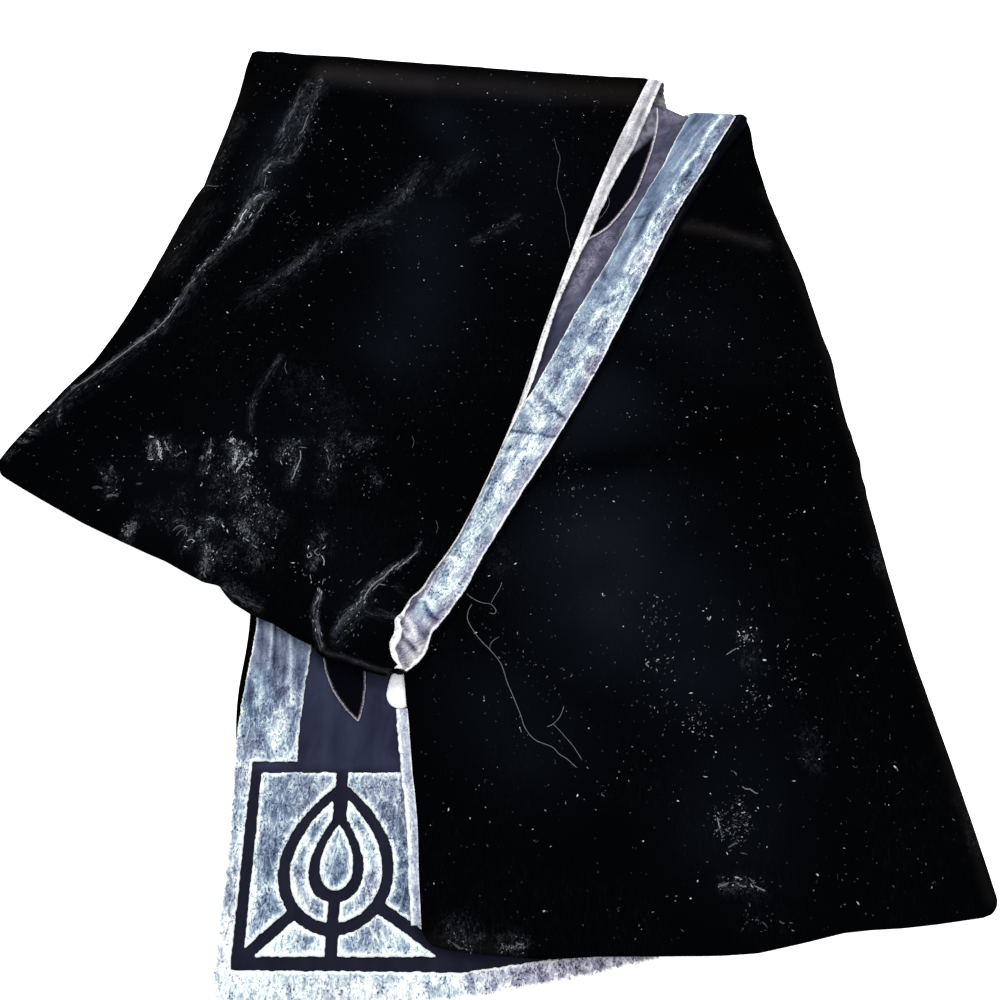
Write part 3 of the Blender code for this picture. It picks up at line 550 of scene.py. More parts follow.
def pile_relief(x, y):
    """The small rise and fall of a velvet pile, always upwards."""
    return 0.00045 * (0.5 + 0.5 * noise(x, y, 0.024, 1)) + 0.00016 * (1 + noise(x, y, 0.0065, 2))


def relief(stretch, x, y, share=1.0):
    return share * pile_relief(x, y) + layered(FOLDS, stretch.order, x, y)


# ------------------------------------------------------------------ meshes


def new_piece(name, points, faces, cloth, nodes, wear, uv=None, flow=None):
    """A mesh with cloth's material; its slot is not used. wear has four numbers a point, which each material reads in
    its own way.
    """
    data = bpy.data.meshes.new(name)
    data.from_pydata((np.asarray(points, float) + (*CENTRING, 0.0)).tolist(), [], faces)
    data.materials.append(cloth[0])
    corner = np.empty(len(data.loops), int)
    data.loops.foreach_get("vertex_index", corner)
    for layer_name, values in (("cloth", uv), ("nap", flow)):
        if values is not None:
            layer = data.uv_layers.new(name=layer_name)
            layer.data.foreach_set("uv", np.asarray(values, np.float32)[corner].ravel())
    attribute = data.color_attributes.new("wear", "FLOAT_COLOR", "POINT")
    attribute.data.foreach_set("color", np.asarray(wear, np.float32).ravel())
    data.shade_smooth()
    data.validate()
    piece = bpy.data.objects.new(name, data)
    bpy.context.scene.collection.objects.link(piece)
    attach(piece, "root")
    if nodes:
        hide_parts(*nodes)
    return piece


HEM_STEPS, FOLD_STEP = (0.06, 0.15, 0.45, 0.8), 15  # rows within a hem's rounded corner, and degrees in a fold


def rows_along(stretch, start=0.0, end=1.0, cell=0.0024):
    """Rows of (share of length, angle of the fold), a cell apart, with those of its folds."""
    seam = SEAM_GAP / stretch.length
    first = start if 0 in stretch.bends or stretch.hem == 0 or start > 0 else seam
    last = end if 1 in stretch.bends or stretch.hem == 1 or end < 1 else 1 - seam
    alongs = list(np.linspace(first, last, max(int((last - first) * stretch.length / cell), 3)))
    if stretch.hem is not None and stretch.hem in (start, end):
        near = [HEM_CORNER / stretch.length * share for share in HEM_STEPS]
        alongs = sorted(alongs + [abs(stretch.hem - step) for step in near])
    rows = [(along, 0.0) for along in alongs]
    turn = [math.radians(a) for a in range(FOLD_STEP, 181, FOLD_STEP)]
    if start == 0 and 0 in stretch.bends:
        rows = [(0.0, angle) for angle in reversed(turn)] + rows
    if end == 1 and 1 in stretch.bends:
        rows += [(1.0, angle) for angle in turn]
    return np.array(rows)


def place(stretch, rows, across, lift):
    """Points of the cloth, for rows of stations, shares of the width and lifts off its underside."""
    along, angle = rows[:, :1], rows[:, 1:]
    lx, ly, rx, ry = stretch.section(along)
    across = across + (0.5 - across) * 2 * FOLD_CORNER / np.hypot(rx - lx, ry - ly) * np.sin(angle)
    x, y = stretch.plan(along, across)
    lift = np.broadcast_to(lift, x.shape)
    z = rest_height(stretch.order, x, y) + lift
    for end, (below, reach) in stretch.bends.items():
        turning = (rows[:, 0] == end) & (rows[:, 1] > 0)
        if turning.any():
            a, out = angle[turning], stretch.outward(end)
            push = (reach + lift[turning]) * np.sin(a)
            x[turning] += out.x * push
            y[turning] += out.y * push
            held = np.minimum(lift[turning], stretch.thickness)
            upper = rest_height(stretch.order, x[turning], y[turning]) + lift[turning]
            lower = rest_height(below.order, x[turning], y[turning])
            lower = lower + below.thickness * (1 - held / stretch.thickness)
            z[turning] = (upper + lower) / 2 + (upper - lower) / 2 * np.cos(a)
    return np.stack([x, y, z], -1)


RIM_TURNS = [math.radians(a) for a in (-50, 0, 50)]  # the three points that round each edge of a wall
END_SHUT, FOLD_TRAVEL, OFF_FLOOR = 0.25, 0.004, 0.00005
RAGGED_REACH, EDGE_ROUND, RIM_SHIFT = 0.004, 0.0011, 0.7  # of a cut pile, the last in cells


def wall(name, stretch, rows, left, right, columns, lifts, cloth, nodes, top=None, wear=None, bulge=1.0, wobble=0.0,
         round_ends=(False, False), rims=(0.0, 0.0), rim_reach=0.0007, flow=None):
    """A closed wall of cloth between two edges. left and right give shares of the width for a row's share
    of the length, top the rise of its upper side, wear four numbers, and rims how pale each cut edge is."""
    s, edges = rows[:, 0] * stretch.length, []
    for edge, aside, layer in ((left, 0, 3), (right, 9, 5)):
        rough = noise(s, 0 * s + aside, 0.0016, layer) + 0.7 * noise(s, 0 * s + aside, 0.006, layer + 1)
        edges.append((edge(rows[:, 0]) + wobble / STOLE_WIDTH * rough)[:, None])
    l, r = edges
    across = l + (r - l) * np.linspace(0, 1, columns + 1)
    rise = 0.0 if top is None else top(*stretch.plan(rows[:, :1], across))
    rise = rise * np.cos(np.minimum(rows[:, 1:], math.pi / 2))
    low, high = place(stretch, rows, across, lifts[0]), place(stretch, rows, across, lifts[1] + rise)
    for row, shut in zip((0, -1), round_ends):
        if shut:
            middle = (low[row] + high[row]) / 2
            low[row], high[row] = (middle + (side[row] - middle) * END_SHUT for side in (low, high))
    curls = []
    for side, inner in ((-1, -2), (0, 1)):
        middle, half = (low[:, side] + high[:, side]) / 2, (high[:, side] - low[:, side]) / 2
        away = low[:, side] - low[:, inner]
        away[:, 2] = 0
        away /= np.linalg.norm(away, axis=1)[:, None] + 1e-12
        size = np.linalg.norm(half, axis=1)[:, None] * bulge
        curls.append([middle + half * math.sin(a) * 0.97 + away * size * math.cos(a) for a in RIM_TURNS])
    points = np.stack([*low.swapaxes(0, 1), *curls[0], *high.swapaxes(0, 1)[::-1], *curls[1][::-1]], 1)
    points[..., 2] = np.maximum(points[..., 2], OFF_FLOOR)
    count, ring = points.shape[:2]
    here = np.arange(count * ring).reshape(count, ring)
    ahead = np.roll(here, -1, 1)
    faces = np.stack([here[1:], ahead[1:], ahead[:-1], here[:-1]], -1).reshape(-1, 4).tolist()
    top_right, top_left = columns + 4, 2 * columns + 4
    cap = [[c, c + 1, top_left - c - 1, top_left - c] for c in range(columns)]
    cap += [list(range(columns, top_right + 1)), [*range(top_left, ring), 0]]
    faces += cap + [[(count - 1) * ring + i for i in face[::-1]] for face in cap]
    u = np.concatenate([across, np.repeat(across[:, -1:], 3, 1), across[:, ::-1], np.repeat(across[:, :1], 3, 1)], 1)
    travel = s + np.where(rows[:, 0] > 0.5, 1, -1) * rows[:, 1] * FOLD_TRAVEL
    uv = np.stack([u * STOLE_WIDTH, np.repeat(travel[:, None], ring, 1)], -1).reshape(-1, 2)
    points = points.reshape(-1, 3)
    x, y = points[:, 0], points[:, 1]
    worn = np.zeros((len(points), 4))
    if wear is not None:
        for channel, values in enumerate(wear(x, y, u.ravel(), np.repeat(rows[:, 0], ring))):
            worn[:, channel] = values
    if any(rims):
        pale = [rim * hill(gap * STOLE_WIDTH, rim_reach) for rim, gap in zip(rims, (across - l, r - across))]
        rim = np.zeros((count, ring))
        rim[:, top_right : top_left + 1] = np.maximum(*pale)[:, ::-1]
        rim[:, columns + 1 : top_right] = rims[1]
        rim[:, top_left + 1 :] = rims[0]
        worn[:, 2] = rim.ravel()
    return new_piece(name, points, faces, cloth, nodes, worn, uv, None if flow is None else np.stack(flow(x, y), -1))


def pile_piece(name, outline, cloth, nodes, cell=0.0008, low=PILE_LOW, thick=PILE, jag=0.0003, wear=None, base=None,
               under=None, pale=1.0, rim_reach=0.0009):
    """A closed piece of pile, cut to an outline with a ragged edge, its top rounded at the edge. base is the
    height of its underside where that isn't low, and under goes below it where the pile wraps an edge."""
    xs, ys = (np.arange(min(line) - 2 * cell, max(line) + 3 * cell, cell) for line in zip(*outline))
    x, y = np.meshgrid(xs, ys, indexing="ij")
    depth = to_line(x, y, outline + outline[:1])
    depth = np.where(inside(x, y, outline), depth, -depth)
    ragged = jag * (noise(x, y, 0.0013, 3) + 0.8 * noise(x, y, 0.0045, 4))
    depth = depth + np.where(np.abs(depth) < RAGGED_REACH, ragged, 0)
    gx, gy = np.gradient(depth, cell)
    length = np.hypot(gx, gy) + 1e-9
    halves = (slice(None, -1), slice(1, None))
    corners = [(a, b) for a in halves for b in halves]
    around = [depth[corner] for corner in corners]
    kept = (np.minimum.reduce(around) > -0.5 * cell) & (np.maximum.reduce(around) > 0.45 * cell)
    full = np.zeros(x.shape, int)
    for corner in corners:
        full[corner] += kept
    used = full > 0
    rim = used & (full < 4)
    shift = np.where(rim, np.clip(depth, -RIM_SHIFT * cell, RIM_SHIFT * cell), 0)
    x, y = (x - gx / length * shift)[used], (y - gy / length * shift)[used]
    depth = np.maximum(np.where(rim, 0, depth)[used], 0)
    index = np.cumsum(used).reshape(used.shape) - 1
    ground = np.full(x.shape, low) if base is None else base(x, y)
    crown = thick * (0.45 + 0.55 * np.sqrt(1 - (1 - np.clip(depth / EDGE_ROUND, 0, 1)) ** 2))
    top = ground + crown + 0.5 * pile_relief(x, y)
    if under is not None:
        ground = under(x, y, ground)
    n = len(x)
    points = np.concatenate([np.stack([x, y, top], -1), np.stack([x, y, ground], -1)])
    i, j = np.nonzero(kept)
    square = [(0, 0), (1, 0), (1, 1), (0, 1)]
    quad = np.stack([index[i + a, j + b] for a, b in square], -1)
    faces = quad.tolist() + (quad[:, ::-1] + n).tolist()
    padded = np.pad(kept, 1)
    for (ai, aj), (bi, bj) in zip(square, square[1:] + square[:1]):
        di, dj = 1 + bj - aj, 1 + ai - bi
        i, j = np.nonzero(kept & ~padded[di : di + kept.shape[0], dj : dj + kept.shape[1]])
        p, q = index[i + ai, j + aj], index[i + bi, j + bj]
        faces += np.stack([q, p, p + n, q + n], -1).tolist()
    worn = np.zeros((2 * n, 4))
    worn[:, 2] = pale * hill(np.concatenate([depth, depth]), rim_reach)
    if wear is not None:
        worn[:, 0], worn[:, 1], worn[:, 3] = wear(points[:, 0], points[:, 1])
    return new_piece(name, points, faces, cloth, nodes, worn, points[:, :2])


# ------------------------------------------------------------------ materials


class Graph:
    """A material's nodes, made one by one."""

    def __init__(self, name):
        self.material = bpy.data.materials.new(name)
        self.material.use_nodes = True
        self.tree = self.material.node_tree
        self.shader = self.tree.nodes["Principled BSDF"]

    def put(self, value, socket):
        if isinstance(value, bpy.types.NodeSocket):
            self.tree.links.new(value, socket)
        else:
            socket.default_value = value

    def node(self, kind, inputs, out=0, **settings):
        made = self.tree.nodes.new(kind)
        for key, value in settings.items():
            setattr(made, key, value)
        for key, value in inputs.items():
            self.put(value, made.inputs[key])
        return made.outputs[out]

    def maths(self, operation, made, *parts, clamp=False):
        """All parts taken from the left. Only the last step is clamped."""
        for left, part in enumerate(parts, 1 - len(parts)):
            made = self.node("ShaderNodeMath", {0: made, 1: part}, operation=operation, use_clamp=clamp and left == 0)
        return made

    def times(self, *parts, clamp=False):
        return self.maths("MULTIPLY", *parts, clamp=clamp)

    def plus(self, *parts, clamp=False):
        return self.maths("ADD", *parts, clamp=clamp)

    def minus(self, *parts, clamp=False):
        return self.maths("SUBTRACT", *parts, clamp=clamp)

    def scaled(self, vector, sizes):
        return self.node("ShaderNodeMapping", {"Vector": vector, "Scale": [1 / size for size in sizes]})

    def cloud(self, vector, sizes, detail, roughness, distortion=0.0, stops=(), ease="LINEAR"):
        """Noise with hills of a size, through a ramp where there are stops."""
        ins = {"Vector": self.scaled(vector, sizes), "Scale": 1.0}
        ins |= {"Detail": detail, "Roughness": roughness, "Distortion": distortion}
        made = self.node("ShaderNodeTexNoise", ins)
        return self.ramp(made, stops, ease) if stops else made

    def ramp(self, factor, stops, ease="LINEAR"):
        out = self.node("ShaderNodeValToRGB", {0: factor})
        ramp = out.node.color_ramp
        ramp.interpolation = ease
        while len(ramp.elements) < len(stops):
            ramp.elements.new(1.0)
        for element, (where, colour) in zip(ramp.elements, stops):
            element.position = where
            element.color = (*(colour if isinstance(colour, tuple) else (colour,) * 3), 1.0)
        return out

    def mix(self, factor, *colours):
        ins = {6 + i: (*colour, 1.0) if isinstance(colour, tuple) else colour for i, colour in enumerate(colours)}
        return self.node("ShaderNodeMix", {0: factor} | ins, out=2, data_type="RGBA")

    def wear(self):
        colour = self.node("ShaderNodeAttribute", {}, attribute_name="wear")
        parts = self.node("ShaderNodeSeparateColor", {0: colour}).node.outputs
        return parts[0], parts[1], parts[2], colour.node.outputs["Alpha"]

    def uv(self, layer="cloth"):
        return self.node("ShaderNodeUVMap", {}, uv_map=layer)

    def spot(self):
        return self.node("ShaderNodeTexCoord", {}, out=3)

    def bump(self, height, distance, strength, **under):
        return self.node("ShaderNodeBump", {"Height": height, "Distance": distance, "Strength": strength} | under)

    def finish(self, colour, roughness, **constants):
        for key, value in {"Base_Color": colour, "Roughness": roughness, **constants}.items():
            self.put(value, self.shader.inputs[key.replace("_", " ")])
        return self.material


def black_velvet():
    """Nearly black: painted highlights of crushed nap in lines, a faint painted haze, glow and shade, and specks of
    dust.
    """
    g = Graph("black_velvet_pile")
    nap, haze, glow, crumbs = g.wear()
    flow, spot = g.uv("nap"), g.spot()
    lines = g.cloud(flow, (0.0055, 0.0008, 1), 3, 0.62, 0.7, [(0.47, 0.0), (0.68, 1.0)])
    patches = g.cloud(flow, (0.0085, 0.0036, 1), 4, 0.6, 0.6, [(0.34, 0.05), (0.60, 1.0)])
    grain = g.cloud(spot, (0.0008, 0.0011, 0.002), 2, 0.7, 0, [(0.38, 0.35), (0.66, 1.0)])
    # Painted highlights of the crests, in lines of nap
    crushed = g.times(nap, g.times(patches, g.plus(g.times(lines, 1.05), 0.07)), grain)
    bits = g.cloud(spot, (0.0018, 0.0025, 0.003), 3, 0.65, 1.8, [(0.50, 0.0), (0.64, 1.0)])
    clump = g.cloud(spot, (0.0060, 0.0075, 0.009), 2, 0.5, 0.6, [(0.38, 0.06), (0.60, 1.0)])
    scraps = g.plus(g.times(bits, clump, grain), g.times(lines, patches, 0.14))
    cells = {"Vector": g.scaled(spot, (0.0036, 0.0040, 0.006)), "Scale": 1.0, "Randomness": 1.0}
    specks, chance = (g.node("ShaderNodeTexVoronoi", cells, out=out, feature="F1") for out in (0, 1))
    dust = g.times(g.ramp(specks, [(0.05, 1.0), (0.13, 0.0)]), g.ramp(chance, [(0.45, 0.0), (0.98, 0.13)]))
    # The painted sheen of crests and crushed nap, together with real specks of dust
    sheen_and_dust = g.plus(crushed, g.times(crumbs, scraps), g.times(dust, 0.5), clamp=True)
    # Painted light and shade: a cool haze, a warm glow, and painted shade where that number is below zero
    colour = g.mix(haze, (0.0004, 0.0005, 0.0007), (0.0036, 0.0050, 0.0078))
    colour = g.mix(g.times(glow, 1.0, clamp=True), colour, (0.0190, 0.0155, 0.0145))
    colour = g.mix(g.times(glow, -0.8, clamp=True), colour, (0.0003, 0.0003, 0.0004))
    # Pale blue for the painted sheen, and for the dust
    colour = g.mix(sheen_and_dust, colour, g.mix(grain, (0.22, 0.29, 0.41), (0.46, 0.49, 0.56)))
    normal = g.bump(g.cloud(spot, (0.0005,) * 3, 2, 0.6), 0.00025, 0.5)
    return g.finish(colour, 0.95, Normal=normal, Specular_IOR_Level=0.002)


def black_pile():
    """The black velvet of the ornaments and rolls: pale where its pile is cut or crushed, and a painted highlight on
    the roll.
    """
    g = Graph("black_velvet_cut")
    nap, pale, rim, _ = g.wear()
    spot = g.spot()
    fine = g.cloud(spot, (0.0009,) * 3, 3, 0.6)
    patch = g.cloud(spot, (0.006, 0.009, 0.01), 4, 0.65)
    base = g.mix(patch, (0.0004, 0.0004, 0.0010), (0.0016, 0.0016, 0.0042))
    crushed = g.times(nap, g.ramp(patch, [(0.30, 0.25), (0.58, 1.0)]), clamp=True)
    colour = g.mix(crushed, base, (0.120, 0.120, 0.155))
    edge = g.times(rim, g.ramp(fine, [(0.34, 0.10), (0.52, 1.0)]), clamp=True)
    colour = g.mix(g.times(edge, 0.85), colour, (0.50, 0.45, 0.52))
    # A painted highlight, where the second number is set along the roll
    colour = g.mix(g.times(pale, g.ramp(fine, [(0.25, 0.6), (0.6, 1.0)])), colour, (0.78, 0.78, 0.84))
    return g.finish(colour, 0.9, Normal=g.bump(fine, 0.0003, 0.5), Specular_IOR_Level=0.01)


def silver_velvet():
    """Steel blue to white: long soft pleats where it lies flat, and strokes, patches and dark flecks where
    it is crushed. A tint up to 1 turns it lilac, and from there to 2 a plain grey."""
    g = Graph("silver_velvet_pile")
    tone, tint, rim, crush = g.wear()
    uv = g.uv()
    field = g.cloud(uv, (0.010, 0.015, 1), 3, 0.5, 0.7, [(0.36, 0.0), (0.62, 1.0)], "EASE")
    pleat = g.cloud(uv, (0.0044, 0.048, 1), 2, 0.5, 0.6)
    brush = g.cloud(uv, (0.0034, 0.0075, 1), 4, 0.6, 1.6, [(0.34, 0.0), (0.64, 1.0)])
    curl = g.cloud(uv, (0.0048, 0.0125, 1), 3, 0.5, 1.8, [(0.43, 0.0), (0.50, 1.0), (0.57, 0.0)])
    grain = g.cloud(uv, (0.0010, 0.0012, 1), 2, 0.7, 0.5)
    fleck = g.ramp(grain, [(0.38, 1.0), (0.46, 0.0)])
    cluster = g.cloud(uv, (0.0050, 0.0060, 1), 2, 0.5, 0.8, [(0.40, 1.0), (0.56, 0.12)])

    def weight(low, high):
        return g.plus(g.times(crush, high - low), low)

    parts = [
        (field, 0.5, weight(0.10, 0.30)),
        (pleat, 0.5, g.times(g.minus(1.0, crush), 0.85)),
        (brush, 0.5, weight(0.06, 0.30)),
        (curl, 0.3, weight(0.02, 0.32)),
        (grain, 0.5, weight(0.25, 0.38)),
    ]
    level = g.plus(tone, *[g.times(g.minus(part, middle), share) for part, middle, share in parts])
    level = g.minus(level, g.times(fleck, cluster, weight(0.04, 0.60)))
    level = g.plus(level, g.times(rim, 0.60), clamp=True)
    steps = (0.0, 0.25, 0.50, 0.72, 0.96)
    cool = [(0.012, 0.017, 0.034), (0.058, 0.084, 0.142), (0.145, 0.198, 0.280), (0.330, 0.410, 0.445),
            (0.610, 0.680, 0.680)]
    lilac = [(0.016, 0.016, 0.030), (0.078, 0.076, 0.120), (0.205, 0.200, 0.270), (0.385, 0.380, 0.440),
             (0.660, 0.655, 0.680)]
    grey = [0.012, 0.070, 0.200, 0.380, 0.680]
    cool, lilac, grey = (g.ramp(level, list(zip(steps, colours))) for colours in (cool, lilac, grey))
    colour = g.mix(g.plus(tint, 0.0, clamp=True), cool, lilac)
    colour = g.mix(g.minus(tint, 1.0, clamp=True), colour, grey)
    normal = g.bump(grain, 0.0005, 0.35, Normal=g.bump(brush, 0.0006, 0.35))
    return g.finish(colour, 0.65, Normal=normal, Sheen_Weight=0.08, Sheen_Roughness=0.4, Specular_IOR_Level=0.12)


def navy_satin():
    """Dark, with a dull violet gloss and crinkles painted where it is lit, and painted shade in the ornament's
    channels.
    """
    g = Graph("navy_satin_weave")
    lit, channel_shade, _, shade = g.wear()
    uv = g.uv()
    spot = g.cloud(uv, (0.012, 0.030, 1), 3, 0.55, 0.5, [(0.30, 0.0), (0.70, 1.0)])
    blotch = g.cloud(uv, (0.007, 0.012, 1), 4, 0.6, 1.0, [(0.34, 0.25), (0.64, 1.0)])
    threads = g.cloud(uv, (0.00035, 0.0040, 1), 2, 0.6)
    crinkle = g.cloud(uv, (0.0070, 0.0100, 1), 3, 0.55, 2.0, [(0.42, 0.0), (0.50, 1.0), (0.58, 0.0)])
    colour = g.mix(spot, (0.0085, 0.0105, 0.0240), (0.0200, 0.0245, 0.0480))
    colour = g.mix(g.times(lit, blotch, clamp=True), colour, (0.094, 0.088, 0.134))
    ruck = g.times(crinkle, g.minus(lit, 0.9, clamp=True), 1.6, clamp=True)
    colour = g.mix(ruck, colour, (0.230, 0.220, 0.285))
    colour = g.mix(g.times(threads, 0.22), colour, (0.008, 0.009, 0.020))
    # Painted shade in the channels, where the second number is set
    colour = g.mix(channel_shade, colour, g.mix(spot, (0.0045, 0.0050, 0.0120), (0.0090, 0.0095, 0.0190)))
    colour = g.mix(shade, colour, (0.003, 0.003, 0.006))
    normal = g.bump(threads, 0.00015, 0.25, Normal=g.bump(spot, 0.0012, 0.3))
    return g.finish(colour, 0.50, Normal=normal, Specular_IOR_Level=0.03)


def label_tape():
    g = Graph("label_tape_weave")
    rim, spot = g.wear()[2], g.spot()
    waves = {"Vector": g.scaled(spot, (0.0009,) * 3), "Scale": 0.5, "Distortion": 0.6}
    ribs = g.node("ShaderNodeTexWave", waves, out=1, bands_direction="Y")
    # Grey blotches of painted shade
    blotchy_shade = g.cloud(spot, (0.003, 0.004, 0.01), 3, 0.6, 0, [(0.35, 0.0), (0.75, 0.6)])
    colour = g.mix(blotchy_shade, (0.84, 0.84, 0.86), (0.58, 0.58, 0.63))
    colour = g.mix(g.times(rim, 0.35), colour, (0.36, 0.36, 0.43))
    return g.finish(colour, 0.8, Normal=g.bump(ribs, 0.00012, 0.5), Specular_IOR_Level=0.1)


def lint_and_sheen_fibre():
    """Lint, stray threads, and strands of crushed nap that are pale with painted sheen.
    The first of the four numbers says how bright a piece of it is.
    """
    g = Graph("lint_and_sheen_fibre")
    level = g.times(g.wear()[0], g.cloud(g.spot(), (0.002,) * 3, 2, 0.5, 0, [(0.3, 0.65), (0.7, 1.0)]))
    return g.finish(g.mix(level, (0.006, 0.007, 0.009), (0.62, 0.64, 0.68)), 0.9, Specular_IOR_Level=0.05)


BLACK, CUT = (black_velvet(), "black_velvet"), (black_pile(), "black_velvet")
SILVER, NAVY = (silver_velvet(), "silver_velvet"), (navy_satin(), "navy_satin")
TAPE, LINT_AND_SHEEN = (label_tape(), "label_tape"), (lint_and_sheen_fibre(), "label_tape")

# ------------------------------------------------------------------ the under stretch


def same(value):
    return lambda along: np.full(np.shape(along), float(value))


VELVET_COLUMNS = 144


def velvet(name, stretch, cell, node, **more):
    """A stretch's black velvet, from edge to edge."""
    order = stretch.order

    def wear(x, y, across, along):
        # Painted light: crest highlights, a haze, a warm glow less painted shade, and the sheen of crushed nap patches
        broken = 0.85 + 0.3 * noise(x, y, 0.010, 6)
        crests = layered(CRESTS, order, x, y) * broken + 0.004 * np.clip(noise(x, y, 0.030, 1) + 0.4, 0, 1)
        haze = layered(HAZE, order, x, y) * (0.9 + 0.2 * noise(x, y, 0.02, 5))
        glow = layered(GLOW, order, x, y) - layered(SHADE, order, x, y)
        return crests, haze, glow, 0.4 * layered(NAP, order, x, y) * broken

    return wall(name, stretch, rows_along(stretch, cell=cell), same(0.0), same(1.0), VELVET_COLUMNS, (0.0, LINED),
                BLACK, [node], top=lambda x, y: relief(stretch, x, y), wear=wear,
                flow=lambda x, y: nap_flow(order, x, y), **more)


def under_rows(cell):
    rows = rows_along(UNDER, cell=cell)
    rows[:, 0] = np.maximum(rows[:, 0], WRAP / UNDER.length)
    return rows


def peek(along):
    """How far the lining shows beyond the satin's left edge."""
    y = UNDER.plan(along, 0.0)[1]
    return (WRAP - (0.0042 + WRAP) * smooth((y + 0.215) / 0.06)) / STOLE_WIDTH


def channel_wear(x, y, across, along):
    """Painted shade on the satin in the channels between the ornament's pieces, and near the hem."""
    channel_shade = smooth((SQUARE_TOP + 0.0035 - y) / 0.004) * smooth((0.012 - x) / 0.004)
    return 0.0, np.maximum(channel_shade, smooth((-0.276 - y) / 0.004)), 0.0, 0.0


lining = wall("lining_under", UNDER, under_rows(0.004), peek, same(1.0 - WRAP / STOLE_WIDTH), 66, (0.0, LINING), BLACK,
              ["under_lining"], round_ends=(True, False), flow=lambda x, y: (y, x))
satin = wall("satin_under", UNDER, under_rows(0.003), same(WRAP / STOLE_WIDTH), same(1.0), 88,
             (LINING + SEAM_GAP, LINING + SEAM_GAP + GROUND), NAVY, ["under_satin"], wear=channel_wear,
             round_ends=(True, False))


def under_tone(x, y):
    """Smooth and blue up the border, and towards the near left corner paler and more crushed."""
    down = smooth((-0.13 - y) / 0.10)
    tone = 0.37 + 0.13 * down + 0.06 * smooth((-0.06 - x) / 0.04) * down
    tone = tone + 0.28 * smooth((-0.262 - y) / 0.030) * (1 - 0.7 * smooth((x + 0.01) / 0.05))
    # The pleats' painted light and shade
    tone = tone + np.where((x < -0.055) & (y > -0.2), layered(BORDER_MARKS, 0, x, y, np.add), 0.0)
    tone = tone + 0.08 * noise(x, y, 0.030, 3) * down
    tint = 0.30 * (1 - smooth((-0.13 - y) / 0.05)) + 0.20 * down
    brown = 1.1 * smooth(x / 0.06)
    crush = 0.12 + 0.78 * smooth((-0.135 - y) / 0.05)
    return tone, np.clip(tint + 0.35 * noise(x, y, 0.016, 2), 0, 1) + brown, crush


def whiter(change):
    """The border's look, paler or darker."""

    def wear(x, y):
        tone, tint, crush = under_tone(x, y)
        return tone + change, tint, crush

    return wear


def wrapped(x, y, ground):
    """The pile wraps down over the near left corner's edges."""
    rim = UNDER.places(np.linspace(0.5, 0.0, 60), 0.0) + UNDER.places(0.0, np.linspace(0.0, 1.0, 60))
    down = smooth((0.0012 - to_line(x, y, rim)) / 0.0006) * smooth((-0.175 - y) / 0.015)
    return ground * (1 - down) + 0.0004 * down


alongs = [HEM_CORNER / UNDER.length * s for s in (0.02, 0.06, 0.12, 0.2, 0.3, 0.42, 0.56, 0.72)]
alongs = np.sort([*alongs, *np.linspace(0.0, 1 - SEAM_GAP / UNDER.length, 90)])
frame_x, frame_y = SQUARE_LEFT - CHANNEL, SQUARE_TOP + CHANNEL
border_outline = UNDER.places(alongs, -0.0035 * smooth((0.35 - alongs) / 0.1))
border_outline += [p for p in UNDER.places(alongs[::-1], BORDER / STOLE_WIDTH) if p[1] > frame_y]
border_outline += [(border_outline[-1][0], frame_y), (frame_x, frame_y), (frame_x, SQUARE_BOTTOM - CHANNEL)]
border_outline += [(0.010, -0.2955), (0.050, -0.2900), (0.100, -0.2850)]
border_outline += [(x, y - 0.0004) for x, y in UNDER.places(0.0, np.linspace(0, 1, 40))[::-1] if x < 0.100]
pile_piece("border_side_and_hem", border_outline, SILVER, ["side_border", "hem_border"], wear=under_tone, under=wrapped)


def rounded(outline, most=0.0012, rounds=3):
    """An outline with its corners cut off again and again, each time by no more than a length."""
    for _ in range(rounds):
        cut = []
        for p, q in zip(outline, outline[1:] + outline[:1]):
            share = min(0.25, most / (math.dist(p, q) + 1e-9))
            cut += [tuple(a + (b - a) * s for a, b in zip(p, q)) for s in (share, 1 - share)]
        outline, most = cut, most / 2
    return outline


def polar(radius, angle):
    return DROP_CENTRE[0] + radius * math.sin(angle), DROP_CENTRE[1] + radius * math.cos(angle)


def drop_radius(grown):
    """The drop's radius by angle, made larger by a length."""
    return lambda angle: DROP_BODY + DROP_TIP * math.exp(-abs(angle) / DROP_POINT) + grown


def square_radius(angle):
    across, up = math.sin(angle), math.cos(angle)
    side = (SQUARE_RIGHT if across > 0 else SQUARE_LEFT) - DROP_CENTRE[0]
    end = (SQUARE_TOP if up > 0 else SQUARE_BOTTOM) - DROP_CENTRE[1]
    return min(reach / run for reach, run in ((side, across), (end, up)) if abs(run) > 1e-6)


def ring_outline(inner, outer, start, end):
    """The part of a ring between two angles, and half a channel short of each."""
    steps = max(round(abs(end - start) / math.radians(3)), 6)
    first, last = min(start, end), max(start, end)
    angles = [start + (end - start) * i / steps for i in range(steps + 1)]
    corners = [math.atan2(x - DROP_CENTRE[0], y - DROP_CENTRE[1])
               for x in (SQUARE_LEFT, SQUARE_RIGHT) for y in (SQUARE_BOTTOM, SQUARE_TOP)]

    def trimmed(radius, angle):
        lead = math.asin(min(CHANNEL / 2 / radius, 0.9))
        return polar(radius, min(max(angle, first + lead), last - lead))

    outline = [trimmed(inner(a), a) for a in angles]
    angles += [a for a in corners if first < a < last]
    outline += [trimmed(outer(a), a) for a in sorted(angles, reverse=end > start)]
    return rounded([p for i, p in enumerate(outline) if math.dist(p, outline[i - 1]) > 1e-5])


def ornament(name, outline, node, change):
    pile_piece(name, outline, SILVER, [node], cell=0.0007, wear=whiter(change), rim_reach=0.0019)


